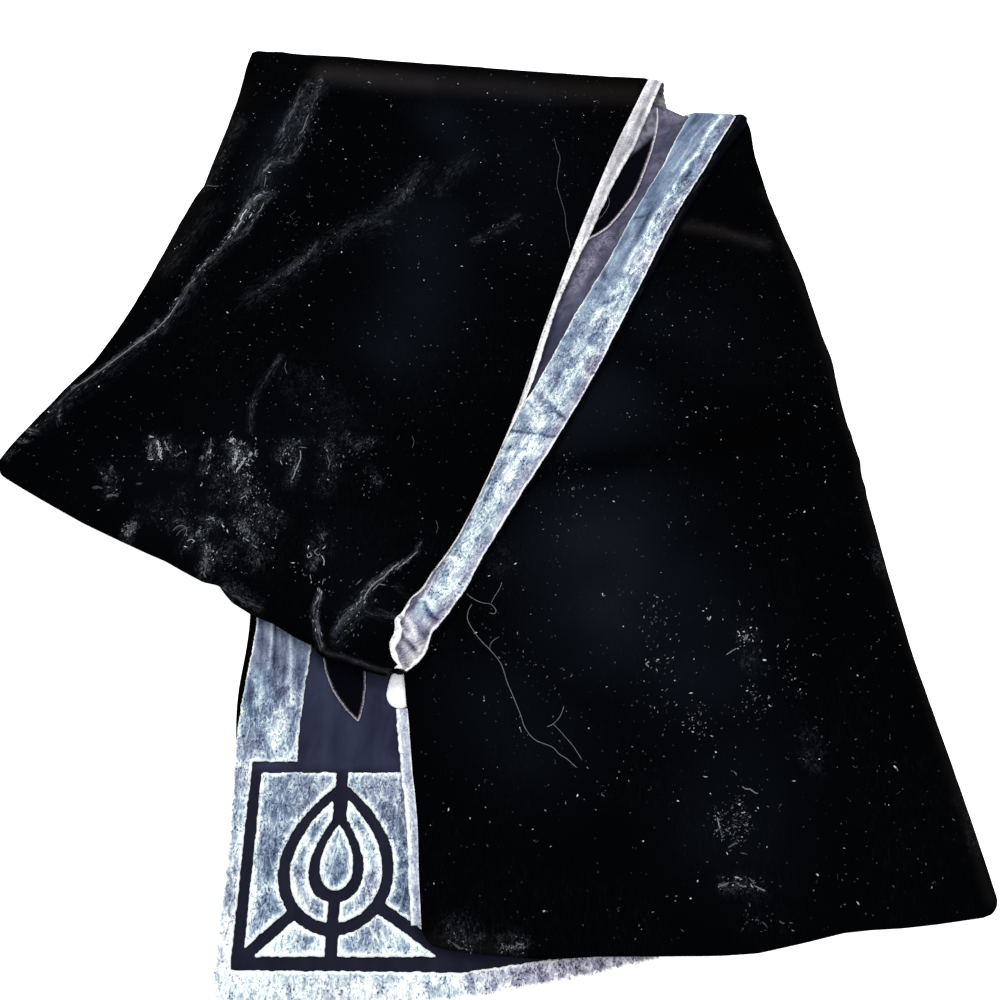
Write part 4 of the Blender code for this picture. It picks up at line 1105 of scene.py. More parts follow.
heart = drop_radius(-DROP_RING - CHANNEL)
heart = [polar(heart(a), a) for a in (2 * math.pi * i / 90 - math.pi for i in range(90))]
ornament("drop_heart_pile", heart, "drop_heart", 0.02)
for hand, side, corner_x in (("left", -1, SQUARE_LEFT), ("right", 1, SQUARE_RIGHT)):
    outline = ring_outline(drop_radius(-DROP_RING), drop_radius(0.0), side * 0.02, side * (math.pi - 0.001))
    ornament(f"drop_ring_pile_{hand}", outline, f"drop_ring_{hand}", 0.05)
    low_corner = math.atan2(corner_x - DROP_CENTRE[0], SQUARE_BOTTOM - DROP_CENTRE[1])
    halves = ("side", side * 0.001, low_corner, -0.10), ("foot", low_corner, side * math.pi, -0.05)
    for part, start, end, change in halves:
        outline = ring_outline(drop_radius(CHANNEL), square_radius, start, end)
        ornament(f"frame_{part}_pile_{hand}", outline, f"frame_{part}_{hand}", change)

LEAF_BASE, LEAF_TIP, LEAF_HALF = (-0.062, -0.120), (-0.044, -0.180), 0.010
leaf_axis = Vector(LEAF_TIP) - Vector(LEAF_BASE)
leaf_side = Vector((leaf_axis.y, -leaf_axis.x)).normalized() * LEAF_HALF
right, left = (
    [tuple(Vector(LEAF_BASE) + leaf_axis * s + leaf_side * sign * math.sin(math.pi * s) ** 0.8)
     for s in (i / 40 for i in range(1, 40))]
    for sign in (1, -1)
)
leaf_outline = [LEAF_BASE] + right + [LEAF_TIP] + left[::-1]
pile_piece("leaf_under", leaf_outline, CUT, ["under_leaf"], cell=0.0006, jag=0.00018, rim_reach=0.0005)

# ------------------------------------------------------------------ the upper stretch

upper_cloth = velvet("velvet_upper", UPPER, 0.0021, "upper_stretch", round_ends=(False, True))


def trim_left(along):
    return -EDGE_GAP - hermite([0.0, 0.80, 1.0], [0.0050, 0.0052, 0.0036], along) / STOLE_WIDTH


wall("trim_upper", UPPER, rows_along(UPPER, 0.80, 0.985, cell=0.0010), trim_left, same(-EDGE_GAP), 5,
     (0.0, LINED * 0.86), SILVER, ["upper_trim"], wear=lambda *_: (0.58, 0.5, 0.0, 0.4), wobble=0.0003, rims=(0.5, 0.6))


def viewed_outline(pixels, height):
    return rounded([seen(pixel, height) for pixel in pixels], 0.0012, 2)


def label_base(x, y):
    return PILE_LOW + SEAM_GAP + 0.0006 * smooth((y + 0.172) / 0.02) * (0.5 + 0.5 * np.cos((x + 0.024) * 500))


# In pixels of the view
LABEL_OUTLINE = [(392.6, 671.4), (400, 673.2), (408.6, 669.6), (409, 706), (401, 710), (390, 705), (386, 696),
                 (389, 682)]
pile_piece("label_blank", viewed_outline(LABEL_OUTLINE, FACED), TAPE, ["label"], cell=0.0005, thick=0.0008, jag=0.0001,
           base=label_base)

# ------------------------------------------------------------------ the turned stretch


def edge_table(stretch, pixels):
    """Shares of the width along an edge that the view shows."""
    return np.array(sorted(stretch.locate(*seen(pixel, VIEW_HEIGHTS[stretch.order])) for pixel in pixels)).T


# The border's inner edge, in pixels of the view
BAND_INNER = [(686, 121), (663, 166), (630, 221), (611, 257), (575, 315), (538, 383), (513, 422), (496, 452)]
inner_at, inner_across = edge_table(TURNED, BAND_INNER)

# The border's outer edge and that of the roll beside it, in mm beyond the stretch's side
BAND_EDGE = [
    (0.0, 4.7), (0.015, 5.2), (0.028, 5.0), (0.046, 2.3), (0.064, -0.5), (0.09, 0.2), (0.11, 0.4), (0.156, 0.8),
    (0.2, -0.2), (0.29, 0.9), (0.37, 3.0), (0.46, 4.3), (0.54, 4.3), (0.575, 3.7), (0.62, 3.4), (0.68, 2.9),
    (0.71, 2.5), (0.76, 1.0), (0.8, 0.4), (0.85, -0.4), (0.89, -0.8), (0.93, -2.4), (1.0, -3.0),
]
ROLL_EDGE = [
    (0.0, 5.8), (0.028, 6.1), (0.046, 3.5), (0.064, 0.8), (0.09, 1.4), (0.11, 1.6), (0.16, 2.0), (0.2, 1.1),
    (0.29, 2.2), (0.37, 4.2), (0.46, 5.5), (0.54, 5.5), (0.62, 5.3), (0.68, 5.9), (0.76, 6.1), (0.81, 5.5),
    (0.85, 4.4), (0.9, 3.4), (0.94, 4.2), (0.965, 5.6), (0.985, 6.2), (0.993, 6.0), (1.0, 4.6),
]


def band_inner(along):
    return np.where(along < inner_at[0], 1 - BORDER / STOLE_WIDTH, np.interp(along, inner_at, inner_across))


def edge_of(table):
    marks, mm = np.array(table).T
    return lambda along: 1 + np.interp(along, marks, mm) / 1000 / STOLE_WIDTH


band_outer, roll_right = edge_of(BAND_EDGE), edge_of(ROLL_EDGE)


def roll_left(along):
    return band_outer(along) + EDGE_GAP * 0.6


def satin_right(along):
    """The satin reaches as far as the border that lies on it."""
    return np.maximum(1.0, band_outer(along)) - 0.0003 / STOLE_WIDTH


def satin_wear(x, y, across, along):
    lit = smooth((across - 0.70) / 0.1) * (0.35 + 0.65 * smooth((y - 0.02) / 0.10)) * smooth((y + 0.06) / 0.05)
    marks = np.where(lit > 0.1, layered(SATIN_MARKS, 2, x, y, np.add), 0.0)
    return np.clip(lit * (0.80 + 0.12 * noise(x, y, 0.012, 3)) + marks, 0.1, 1.4), 0.0, 0.0, 0.0


turned_satin = wall("satin_turned", TURNED, rows_along(TURNED), same(0.0), satin_right, 100,
                    (0.0, PILE_LOW - SEAM_GAP), NAVY, ["turned_stretch"], wear=satin_wear)


def band_wear(x, y, across, along):
    """Steel blue inside, a pale crushed streak along the middle, and lilac outside and at the neck."""
    inner, outer = np.interp(along, inner_at, inner_across), band_outer(along)
    share = np.clip((across - inner) / (outer - inner), 0, 1)
    tip = smooth((0.13 - along) / 0.05)
    lower = smooth((0.72 - along) / 0.2) * (1 - tip)
    centre = 0.66 - 0.10 * smooth((0.8 - along) / 0.5) + 0.05 * np.sin(along * 37) + 0.03 * np.sin(along * 91)
    streak = hill(share - centre, 0.13 + 0.10 * lower) * (1 - tip) * (1 - 0.5 * smooth((along - 0.72) / 0.1))
    outside = smooth((share - 0.62) / 0.10) * smooth((0.56 - along) / 0.10) * smooth((along - 0.14) / 0.05)
    far = smooth((along - 0.52) / 0.10)
    tone = 0.37 + 0.20 * streak + 0.13 * lower + 0.12 * tip - 0.08 * outside - 0.06 * smooth((along - 0.93) / 0.05)
    tone = tone + 0.08 * smooth((0.50 - along) / 0.1) * (1 - tip) + 0.12 * far * smooth((share - 0.72) / 0.08)
    # The creases' painted shade and the crests' painted highlights
    tone = tone + 0.07 * noise(x, y, 0.012, 2) + layered(BAND_MARKS, 2, x, y, np.add)
    tint = smooth((share - 0.70) / 0.2) * (0.75 - 0.3 * far) + 0.9 * smooth((0.10 - along) / 0.04)
    tint = tint + 0.8 * smooth((0.42 - share) / 0.2) * smooth((0.20 - along) / 0.03) + 0.35 * noise(x, y, 0.010, 4)
    crush = 0.16 + 0.55 * streak + 0.48 * lower + 0.25 * smooth((share - 0.6) / 0.2) + 0.25 * tip - 0.45 * outside
    crush = crush + 0.35 * smooth((share - 0.45) / 0.15) * smooth((along - 0.6) / 0.1)
    crush = crush * (1 - 0.45 * tip) * (1 - 0.35 * smooth((along - 0.84) / 0.06))
    return tone, np.clip(tint, 0, 1.6), 0.0, np.clip(crush, 0, 0.9)


wall("border_turned", TURNED, rows_along(TURNED, cell=0.0011), band_inner, band_outer, 28, (PILE_LOW, FACED), SILVER,
     ["turned_border"], top=lambda x, y: relief(TURNED, x, y, 0.6), wear=band_wear, wobble=0.0002, bulge=0.6,
     rims=(0.62, 0.85), rim_reach=0.0005)


def roll_wear(x, y, across, along):
    """Black, with a faint broken painted highlight along its middle where it is far."""
    line = hill((across - roll_left(along)) * STOLE_WIDTH - 0.0022, 0.0006) * smooth((along - 0.55) / 0.25)
    return 0.0, 0.014 * line * np.clip(0.5 + noise(x, y, 0.006, 2), 0, 1), 0.0, 0.0


wall("roll_turned", TURNED, rows_along(TURNED, cell=0.0014), roll_left, roll_right, 9, (0.0, FACED * 0.95), CUT,
     ["turned_piping"], wear=roll_wear, wobble=0.00012, bulge=0.3)

# The leaf's right edge, in pixels of the view. The neck covers the left one.
LEAF_EDGE = [
    (657.5, 107.5), (658, 118), (657, 128), (654.5, 140), (652, 149), (648, 161), (644, 172), (640, 182), (634, 195),
    (626, 206), (616, 218.5), (606, 228.5), (596, 235), (585, 240.5),
]
leaf_at, leaf_across = edge_table(TURNED, LEAF_EDGE)


def leaf_right(along):
    return hermite(leaf_at, leaf_across, np.clip(along, leaf_at[0], leaf_at[-1]))


def leaf_left(along):
    share = np.clip((along - leaf_at[0]) / (leaf_at[-1] - leaf_at[0]), 0.0, 1.0)
    return leaf_right(along) - 0.004 - 0.10 * np.sin(np.pi * share) ** 0.7


def leaf_wear(x, y, across, along):
    left = leaf_right(along) - across
    pale = smooth((along - 0.885 - 1.1 * (0.045 - left)) / 0.025) * (0.7 + 0.3 * noise(x, y, 0.004, 5))
    return 1.5 * pale, 0.0, 0.0, 0.0


wall("leaf_turned", TURNED, rows_along(TURNED, leaf_at[0] + 0.001, leaf_at[-1] - 0.001, cell=0.0010), leaf_left,
     leaf_right, 30, (PILE_LOW, FACED), CUT, ["turned_leaf"], wear=leaf_wear, top=lambda x, y: 0.5 * pile_relief(x, y),
     wobble=0.0001, bulge=0.6, rims=(0.0, 1.35), rim_reach=0.0007)

# ------------------------------------------------------------------ the neck stretch

neck_cloth = velvet("velvet_neck", NECK, 0.0019, "neck_stretch")

# The trim's outer edge where it is wide, in pixels of the view
NECK_TRIM = [
    (661, 80), (657, 89), (651, 103), (634, 143), (610, 186), (587, 236), (580, 249), (555, 305), (530, 385),
    (506, 435),
]
trim_at, trim_across = edge_table(NECK, NECK_TRIM)
# The width of the trim's narrow part and of its crumpled end, in mm
NECK_TRIM_TAIL = [
    (0.66, 0.5), (0.84, 0.5), (0.895, 0.7), (0.9255, 0.7), (0.9295, 1.3), (0.9365, 0.9), (0.9495, 0.6), (0.952, 1.6),
    (0.954, 2.4), (0.957, 2.8), (0.965, 2.6), (0.9725, 2.5), (0.9785, 2.0), (0.982, 1.7), (0.985, 2.0), (0.987, 2.5),
    (0.9925, 2.8), (0.9965, 2.4), (1.0, 1.6),
]
tail_at, tail_mm = np.array(NECK_TRIM_TAIL).T


def neck_trim_right(along):
    measured = np.maximum(np.interp(along, trim_at, trim_across), 1 + EDGE_GAP + 0.0005 / STOLE_WIDTH)
    tail = 1 + EDGE_GAP + np.interp(along, tail_at, tail_mm) / 1000 / STOLE_WIDTH
    return np.where(along < trim_at[-1], measured, tail)


def neck_trim_wear(x, y, across, along):
    """Grey along the far part, then a narrow pale line, then the white of the crumpled end, striped with painted light
    and shade.
    """
    share = (across - 1 - EDGE_GAP) / np.maximum(neck_trim_right(along) - 1 - EDGE_GAP, 1e-6)
    far = smooth((0.40 - along) / 0.12)
    streak = hill(share - 0.62, 0.2) * far * smooth((0.30 - along) / 0.1)
    pale = 0.76 - 0.13 * far - 0.20 * streak + 0.14 * (1 - share) * far
    crumpled = smooth((along - 0.945) / 0.008)
    # Stripes of painted light and shade across the crumples, and whiter at the crumpled end
    folds = 0.07 * np.sin(along * 700 + 4 * share) * crumpled - 0.10 * crumpled
    return pale - folds, 1.6, 0.0, 0.52 - 0.30 * far - 0.25 * crumpled


def trim_crumple(x, y):
    """Low and narrow beside the band, and crumpled at the neck."""
    low = smooth((0.05 - y) / 0.04) * smooth((y + 0.128) / 0.006)
    return 0.4 * pile_relief(x, y) - 0.0013 * low + 0.0003 * (1 + noise(x, y, 0.0050, 5)) * smooth((-0.122 - y) / 0.006)


trim_rows = rows_along(NECK, cell=0.0009)
wall("trim_neck", NECK, trim_rows[trim_rows[:, 1] < math.radians(38)], same(1 + EDGE_GAP), neck_trim_right, 8,
     (0.0, LINED * 0.9), SILVER, ["neck_trim"], wear=neck_trim_wear, wobble=0.00022, top=trim_crumple,
     round_ends=(True, True), rims=(0.12, 0.35))

# ------------------------------------------------------------------ lint, fibres and loose threads


def top_of(stretch, x, y):
    return rest_height(stretch.order, x, y) + stretch.thickness + relief(stretch, x, y)


def lay(name, shapes):
    """One piece of many small closed shapes: points, faces and brightness of each."""
    points, faces, bright = [], [], []
    for own_points, own_faces, level in shapes:
        faces += [[len(points) + i for i in face] for face in own_faces]
        points += own_points
        bright += [(level, 0.0, 0.0, 0.0)] * len(own_points)
    new_piece(name, points, faces, LINT_AND_SHEEN, (), bright)


def fleck(x, y, z, size, rng):
    """An irregular flat grain, longer one way."""
    turn, long = rng.uniform(0, math.pi), rng.uniform(1.0, 2.6)
    ring = []
    for i in range(6):
        a = math.pi / 3 * i
        px, py = math.cos(a) * long * size * rng.uniform(0.6, 1.1), math.sin(a) * size * rng.uniform(0.6, 1.1)
        ring.append((x + px * math.cos(turn) - py * math.sin(turn), y + px * math.sin(turn) + py * math.cos(turn), z))
    faces = [(i, (i + 1) % 6, 6) for i in range(6)] + [((i + 1) % 6, i, 7) for i in range(6)]
    return ring + [(x, y, z + size * 0.7), (x, y, z - size * 0.7)], faces


def strand(line, radius):
    """A closed tube of four sides along points, tapered at its ends."""
    line = np.asarray(line, float)
    points, faces = [], []
    for i, centre in enumerate(line):
        ahead = line[min(i + 1, len(line) - 1)] - line[max(i - 1, 0)]
        side = np.cross(ahead / (np.linalg.norm(ahead) + 1e-12), (0, 0, 1))
        side /= np.linalg.norm(side) + 1e-12
        own = radius * (0.45 if i in (0, len(line) - 1) else 1.0)
        up = np.array((0, 0, own))
        points += [tuple(centre + side * own), tuple(centre + up), tuple(centre - side * own), tuple(centre - up)]
    for i in range(len(line) - 1):
        faces += [(4 * i + j, 4 * i + (j + 1) % 4, 4 * i + 4 + (j + 1) % 4, 4 * i + 4 + j) for j in range(4)]
    last = 4 * (len(line) - 1)
    return points, faces + [(3, 2, 1, 0), (last, last + 1, last + 2, last + 3)]


def lint_level(luck, rng):
    """Most grains are dim, some clear and a few bright."""
    if luck < 0.72:
        return 0.03 + 0.08 * rng.uniform()
    return 0.12 + 0.25 * rng.uniform() if luck < 0.92 else rng.uniform(0.5, 1.0)


def scatter():
    """Grains of lint, and a curled fibre beside every tenth of them."""
    rng = np.random.default_rng(11)
    shapes = []
    for stretch, count in ((NECK, 900), (UPPER, 1500)):
        along, across = rng.uniform(0.01, 0.99, count), rng.uniform(0.01, 0.99, count)
        x, y = stretch.plan(along, across)
        keep = np.ones(count, bool)
        for above in STACK[stretch.order + 1 :]:
            keep &= ~inside(x, y, above.outline)
        rare = 0.65 * smooth((y - 0.11) / 0.05) * smooth((x - 0.12) / 0.03)
        keep &= rng.uniform(0, 1, count) < 0.72 + 0.45 * noise(x, y, 0.035, 2) - rare
        x, y = x[keep], y[keep]
        for px, py, pz in zip(x, y, top_of(stretch, x, y)):
            luck = rng.uniform()
            level = lint_level(luck, rng)
            size = rng.uniform(0.00022, 0.00042) * (1.0 if luck < 0.92 else rng.uniform(0.8, 1.5))
            shapes.append((*fleck(px, py, pz + size * 0.2, size, rng), level))
            if rng.uniform() < 0.10:
                bend, aim, line = rng.uniform(-0.9, 0.9), rng.uniform(0, 2 * math.pi), []
                for _ in range(6):
                    line.append((px, py, pz + 0.00012))
                    px, py = px + 0.0005 * math.cos(aim), py + 0.0005 * math.sin(aim)
                    aim += bend
                shapes.append((*strand(line, 0.00011), level * rng.uniform(0.5, 1.0)))
    return shapes


lay("lint_flecks", scatter())

# In pixels of the view. Single crushed ridges of nap, pale with painted sheen: brightness, width (pixels), points
RIDGES = {
    NECK: [
        (0.8, 1.2, [(149, 437), (154, 437)]), (0.8, 1.3, [(148, 459), (154, 459)]),
        (0.35, 1.8, [(164, 441), (167, 447), (169, 451)]), (0.2, 1.5, [(179, 445), (181, 449)]),
        (0.5, 1.2, [(185, 450), (186, 453)]), (0.2, 1.2, [(176, 457), (180, 453), (183, 452)]),
        (0.14, 1.1, [(211, 437), (211, 442), (210, 447)]), (0.5, 1.6, [(207, 452), (210, 453), (211, 449)]),
        (0.16, 2.2, [(199, 459), (203, 456), (202, 461)]), (0.3, 1.3, [(210, 464), (207, 470)]),
        (0.8, 1.7, [(206, 473), (208, 473)]), (0.35, 1.8, [(101, 473), (102, 474)]),
        (0.13, 2.2, [(109, 471), (114, 466)]), (0.08, 2.6, [(107, 475), (105, 482)]),
        (0.25, 1.4, [(107, 487), (110, 487)]), (0.16, 1.8, [(106, 497), (111, 495), (117, 496)]),
        (0.06, 2.6, [(92, 488), (98, 487), (103, 488)]), (0.1, 1.8, [(135, 484), (143, 483)]),
        (0.9, 1.8, [(229, 442), (232, 440), (234, 438)]), (0.9, 1.8, [(232, 443), (234, 444)]),
        (0.3, 2.2, [(242, 440), (240, 445)]), (1.0, 1.9, [(252, 452), (249, 457)]),
        (0.7, 1.6, [(238, 468), (236, 473)]), (0.45, 1.5, [(256, 450), (255, 456)]),
        (0.5, 1.4, [(256, 437), (256, 440)]), (0.45, 1.6, [(246, 463), (250, 466)]),
        (0.35, 1.2, [(187, 541), (191, 539), (195, 541), (192, 543)]), (0.7, 1.5, [(184, 546), (187, 547)]),
        (0.85, 1.9, [(222, 524), (224, 528)]), (0.6, 1.7, [(227, 529), (228, 533)]),
        (0.4, 1.8, [(244, 538), (249, 541)]), (0.25, 2.0, [(252, 545), (258, 548)]),
        (0.5, 1.6, [(226, 502), (227, 504)]), (0.4, 1.6, [(240, 499), (245, 496)]),
        (0.25, 1.4, [(245, 494), (248, 500)]), (0.16, 1.6, [(286, 448), (283, 455)]),
        (0.5, 1.3, [(280, 460), (282, 465)]), (0.6, 1.4, [(285, 454), (287, 453)]),
        (0.8, 1.4, [(286, 463), (287, 464)]),
        (0.3, 1.3, [(300, 450), (301, 455), (300, 461), (297, 467), (294, 475), (292, 480)]),
        (0.22, 1.4, [(298, 447), (307, 448)]), (0.4, 1.4, [(326, 449), (328, 452)]),
        (0.5, 1.5, [(327, 479), (329, 480)]), (0.1, 1.6, [(327, 455), (330, 462), (328, 470)]),
        (0.2, 1.3, [(341, 463), (341, 468)]), (0.9, 1.4, [(309, 545), (308, 549)]),
        (0.35, 0.9, [(309, 552), (312, 556), (308, 558), (307, 554)]),
        (0.25, 0.9, [(318, 548), (314, 552), (318, 556), (320, 553)]), (0.5, 1.1, [(322, 549), (326, 546)]),
        (0.5, 1.1, [(321, 555), (324, 560), (324, 566)]), (0.16, 0.9, [(321, 534), (324, 541)]),
        (0.7, 1.3, [(272, 547), (274, 548)]), (0.7, 1.3, [(291, 563), (295, 563)]),
        (0.3, 1.2, [(310, 574), (311, 580)]), (0.7, 1.4, [(318, 582), (320, 582)]),
        (0.25, 1.2, [(324, 579), (322, 585)]), (0.2, 1.1, [(356, 585), (362, 579)]),
        (0.34, 0.8, [(418, 551), (412, 556), (406, 562), (400, 566), (397, 570)]),
        (0.3, 1.1, [(399, 563), (391, 569), (384, 577), (376, 582), (370, 588), (366, 594), (364, 599)]),
        (0.3, 0.9, [(180, 300), (169, 316), (157, 329), (144, 338), (124, 353), (102, 369), (84, 382), (71, 389)]),
        (0.2, 1.4, [(386, 585), (379, 584), (372, 591)]), (0.7, 1.6, [(240, 221), (243, 214), (247, 209)]),
        (0.8, 1.6, [(249, 218), (252, 213)]), (0.5, 1.6, [(234, 232), (238, 226), (241, 221)]),
        (0.35, 1.8, [(262, 173), (267, 168), (272, 163)]), (0.16, 1.4, [(266, 176), (264, 188)]),
        (0.35, 1.5, [(254, 200), (257, 196), (262, 194)]), (0.2, 1.4, [(264, 202), (261, 209), (257, 214)]),
        (0.12, 1.4, [(293, 156), (298, 150), (303, 143)]),
        (0.16, 1.5, [(309, 114), (305, 123), (303, 130), (299, 134)]), (0.12, 1.6, [(318, 81), (321, 79), (323, 82)]),
        (0.25, 1.3, [(311, 84), (313, 83)]), (0.14, 1.8, [(298, 100), (294, 109)]),
        (0.14, 1.2, [(206, 185), (212, 186), (219, 186)]), (0.6, 1.4, [(318, 225), (319, 222)]),
        (0.5, 1.2, [(327, 225), (328, 224)]),
    ],
    UPPER: [
        (0.52, 1.7, [(734, 877), (740, 878)]), (0.14, 2.8, [(719, 886), (724, 885), (729, 882)]),
        (0.52, 1.6, [(732, 885), (734, 885)]), (0.14, 1.9, [(735, 882), (741, 886), (747, 887)]),
        (0.19, 1.9, [(749, 878), (754, 883)]), (0.52, 1.9, [(751, 884), (753, 888)]),
        (0.22, 1.9, [(754, 886), (759, 888), (765, 891)]), (0.45, 1.8, [(718, 812), (719, 814)]),
        (0.26, 1.6, [(717, 817), (719, 824), (720, 829)]), (0.08, 1.9, [(720, 830), (723, 837)]),
        (0.6, 1.5, [(738, 804), (740, 805)]), (0.6, 1.4, [(741, 813), (746, 812)]),
        (0.68, 1.4, [(757, 807), (759, 809)]), (0.3, 1.2, [(755, 811), (757, 811)]),
        (0.15, 1.5, [(725, 829), (729, 832)]), (0.15, 1.3, [(733, 825), (738, 828)]),
        (0.11, 1.2, [(732, 820), (738, 821)]), (0.38, 1.4, [(741, 837), (743, 837)]),
        (0.09, 1.5, [(728, 848), (733, 844), (738, 843)]), (0.12, 1.8, [(740, 853), (748, 854)]),
        (0.22, 1.3, [(742, 786), (745, 789), (750, 789), (755, 793), (758, 793)]),
        (0.26, 1.8, [(734, 771), (737, 775)]), (0.38, 1.4, [(703, 776), (708, 777)]),
        (0.38, 1.7, [(792, 781), (796, 781)]), (0.11, 1.6, [(749, 903), (750, 907)]),
        (0.09, 2.1, [(762, 922), (767, 927)]), (0.08, 2.8, [(779, 922), (784, 923)]),
        (0.35, 2.4, [(748, 634), (746, 638), (743, 640)]), (0.7, 1.6, [(737, 648), (739, 649)]),
        (0.22, 1.3, [(726, 655), (732, 651), (737, 648)]), (0.8, 1.5, [(702, 611), (704, 611)]),
        (0.8, 1.5, [(706, 608), (707, 609)]), (0.4, 1.5, [(707, 617), (709, 620), (711, 616)]),
        (0.9, 1.7, [(689, 693), (693, 693)]), (0.9, 1.8, [(769, 705), (771, 706)]),
        (0.25, 1.3, [(649, 661), (646, 664), (649, 667)]), (0.8, 1.5, [(674, 680), (676, 681)]),
        (0.08, 2.3, [(453, 943), (456, 946), (462, 949)]), (0.11, 1.9, [(447, 940), (451, 942)]),
        (0.11, 2.6, [(502, 943), (504, 949)]), (0.11, 1.6, [(515, 948), (518, 944), (524, 945)]),
        (0.09, 1.6, [(511, 946), (516, 950)]), (0.12, 1.6, [(516, 936), (517, 937)]),
    ],
}
# Scattered crumbs of nap, pale with painted sheen: count, brightness, spread (pixels), direction (degrees, or along the
# line), points
CRUMBS = {
    NECK: [
        (47, 0.3, 5.0, 62, [(240, 446), (248, 462), (240, 474)]),
        (79, 0.19, 7.0, 60, [(228, 470), (244, 478), (256, 486)]),
        (89, 0.17, 8.0, 80, [(240, 494), (256, 508), (270, 520)]), (47, 0.19, 7.0, 50, [(246, 526), (256, 544)]),
        (62, 0.22, 4.0, 75, [(206, 544), (208, 556), (206, 568)]), (26, 0.09, 7.0, 40, [(214, 556), (232, 552)]),
        (24, 0.15, 6.0, 70, [(214, 440), (222, 470), (222, 486)]),
        (18, 0.13, 3.6, 90, [(168, 446), (178, 456), (182, 464)]), (26, 0.22, 3.0, 60, [(130, 525), (129, 531)]),
        (16, 0.08, 5.0, 20, [(150, 512), (176, 516), (186, 496)]),
        (14, 0.1, 7.0, 60, [(106, 474), (114, 490), (104, 484)]),
        (21, 0.19, 5.0, 70, [(284, 452), (296, 446), (294, 470)]),
        (26, 0.11, 6.0, 80, [(326, 446), (338, 456), (326, 476)]),
        (24, 0.11, 6.0, 90, [(346, 436), (358, 452), (372, 446)]), (16, 0.15, 6.0, 70, [(374, 476), (362, 496)]),
        (26, 0.12, 9.0, 60, [(196, 530), (222, 532)]), (18, 0.22, 6.0, 60, [(302, 566), (322, 590), (334, 584)]),
        (63, 0.26, 1.7, None, [(238, 226), (228, 238), (214, 252), (196, 273), (184, 292), (172, 308)]),
        (32, 0.17, 1.8, None, [(172, 308), (158, 328), (140, 344), (113, 362), (98, 374)]),
        (32, 0.14, 2.4, None, [(98, 374), (78, 392), (58, 410), (34, 434), (8, 457)]),
        (63, 0.21, 5.0, 60, [(268, 194), (250, 206), (240, 222)]),
        (58, 0.08, 6.0, 60, [(320, 84), (300, 108), (288, 140), (268, 166)]),
        (32, 0.08, 5.0, 62, [(314, 110), (302, 146)]),
        (53, 0.07, 8.0, 35, [(416, 176), (396, 204), (360, 222), (330, 240)]),
        (42, 0.09, 6.0, 40, [(326, 236), (298, 262), (262, 286)]),
        (24, 0.08, 4.0, 30, [(517, 217), (492, 232), (476, 242)]),
        (18, 0.12, 6.0, 50, [(390, 190), (410, 196), (420, 182)]),
        (21, 0.09, 5.0, 45, [(286, 220), (300, 224), (292, 232)]),
        (52, 0.22, 2.8, None, [(396, 567), (384, 577), (370, 588), (360, 600), (346, 618), (336, 636)]),
        (16, 0.2, 0.7, None, [(418, 551), (408, 560), (396, 568)]),
        (42, 0.22, 2.2, None, [(320, 588), (316, 606), (317, 622), (321, 642)]),
        (30, 0.05, 7.0, None, [(372, 596), (352, 622), (346, 642)]),
    ],
    UPPER: [
        (60, 0.12, 5.0, 70, [(718, 808), (722, 836)]), (120, 0.09, 7.0, 20, [(734, 802), (742, 822), (734, 842)]),
        (40, 0.16, 5.0, 20, [(722, 884), (762, 886)]), (26, 0.05, 8.0, 60, [(738, 918), (776, 922)]),
        (40, 0.3, 5.0, 50, [(752, 622), (742, 644)]), (40, 0.2, 9.0, 50, [(740, 700), (762, 698), (752, 720)]),
        (46, 0.2, 8.0, 70, [(694, 710), (700, 726)]), (60, 0.2, 9.0, 60, [(664, 640), (656, 670), (664, 724)]),
        (40, 0.14, 9.0, 60, [(646, 600), (664, 626)]), (30, 0.1, 3.0, 80, [(456, 936), (460, 948), (476, 946)]),
        (50, 0.12, 3.0, 80, [(500, 946), (524, 947)]), (40, 0.14, 10.0, 70, [(566, 462), (580, 520)]),
        (34, 0.14, 12.0, 70, [(500, 640), (560, 700)]), (30, 0.2, 6.0, 70, [(780, 640), (800, 700)]),
    ],
}
# Even soft patches of it: the same
PATCHES = {
    NECK: [
        (34, 0.15, 1.2, 88, [(150, 447), (151, 460)]), (50, 0.62, 0.9, 88, [(158, 442), (160, 450), (160, 460)]),
        (7, 0.3, 0.6, 0, [(148, 437), (153, 437)]), (22, 0.09, 1.8, 80, [(165, 441), (168, 449)]),
        (22, 0.28, 1.4, 40, [(229, 440), (234, 441)]), (34, 0.6, 1.0, 65, [(238, 451), (234, 463)]),
        (34, 0.55, 1.0, 62, [(245, 458), (238, 469)]), (12, 0.26, 1.1, 60, [(251, 453), (248, 457)]),
        (12, 0.12, 1.4, 60, [(255, 448), (255, 454)]), (40, 0.12, 2.0, 62, [(134, 524), (129, 530), (128, 533)]),
        (14, 0.28, 0.9, 10, [(206, 519), (213, 518)]), (16, 0.24, 0.9, 55, [(201, 527), (196, 535)]),
        (36, 0.12, 2.4, 60, [(247, 521), (241, 531)]), (58, 0.11, 1.7, 85, [(208, 549), (206, 562), (205, 575)]),
        (16, 0.14, 1.6, 70, [(210, 446), (207, 459)]), (16, 0.05, 2.0, 30, [(112, 466), (107, 474), (101, 480)]),
        (14, 0.06, 1.6, 10, [(107, 496), (117, 495)]),
    ],
    UPPER: [],
}
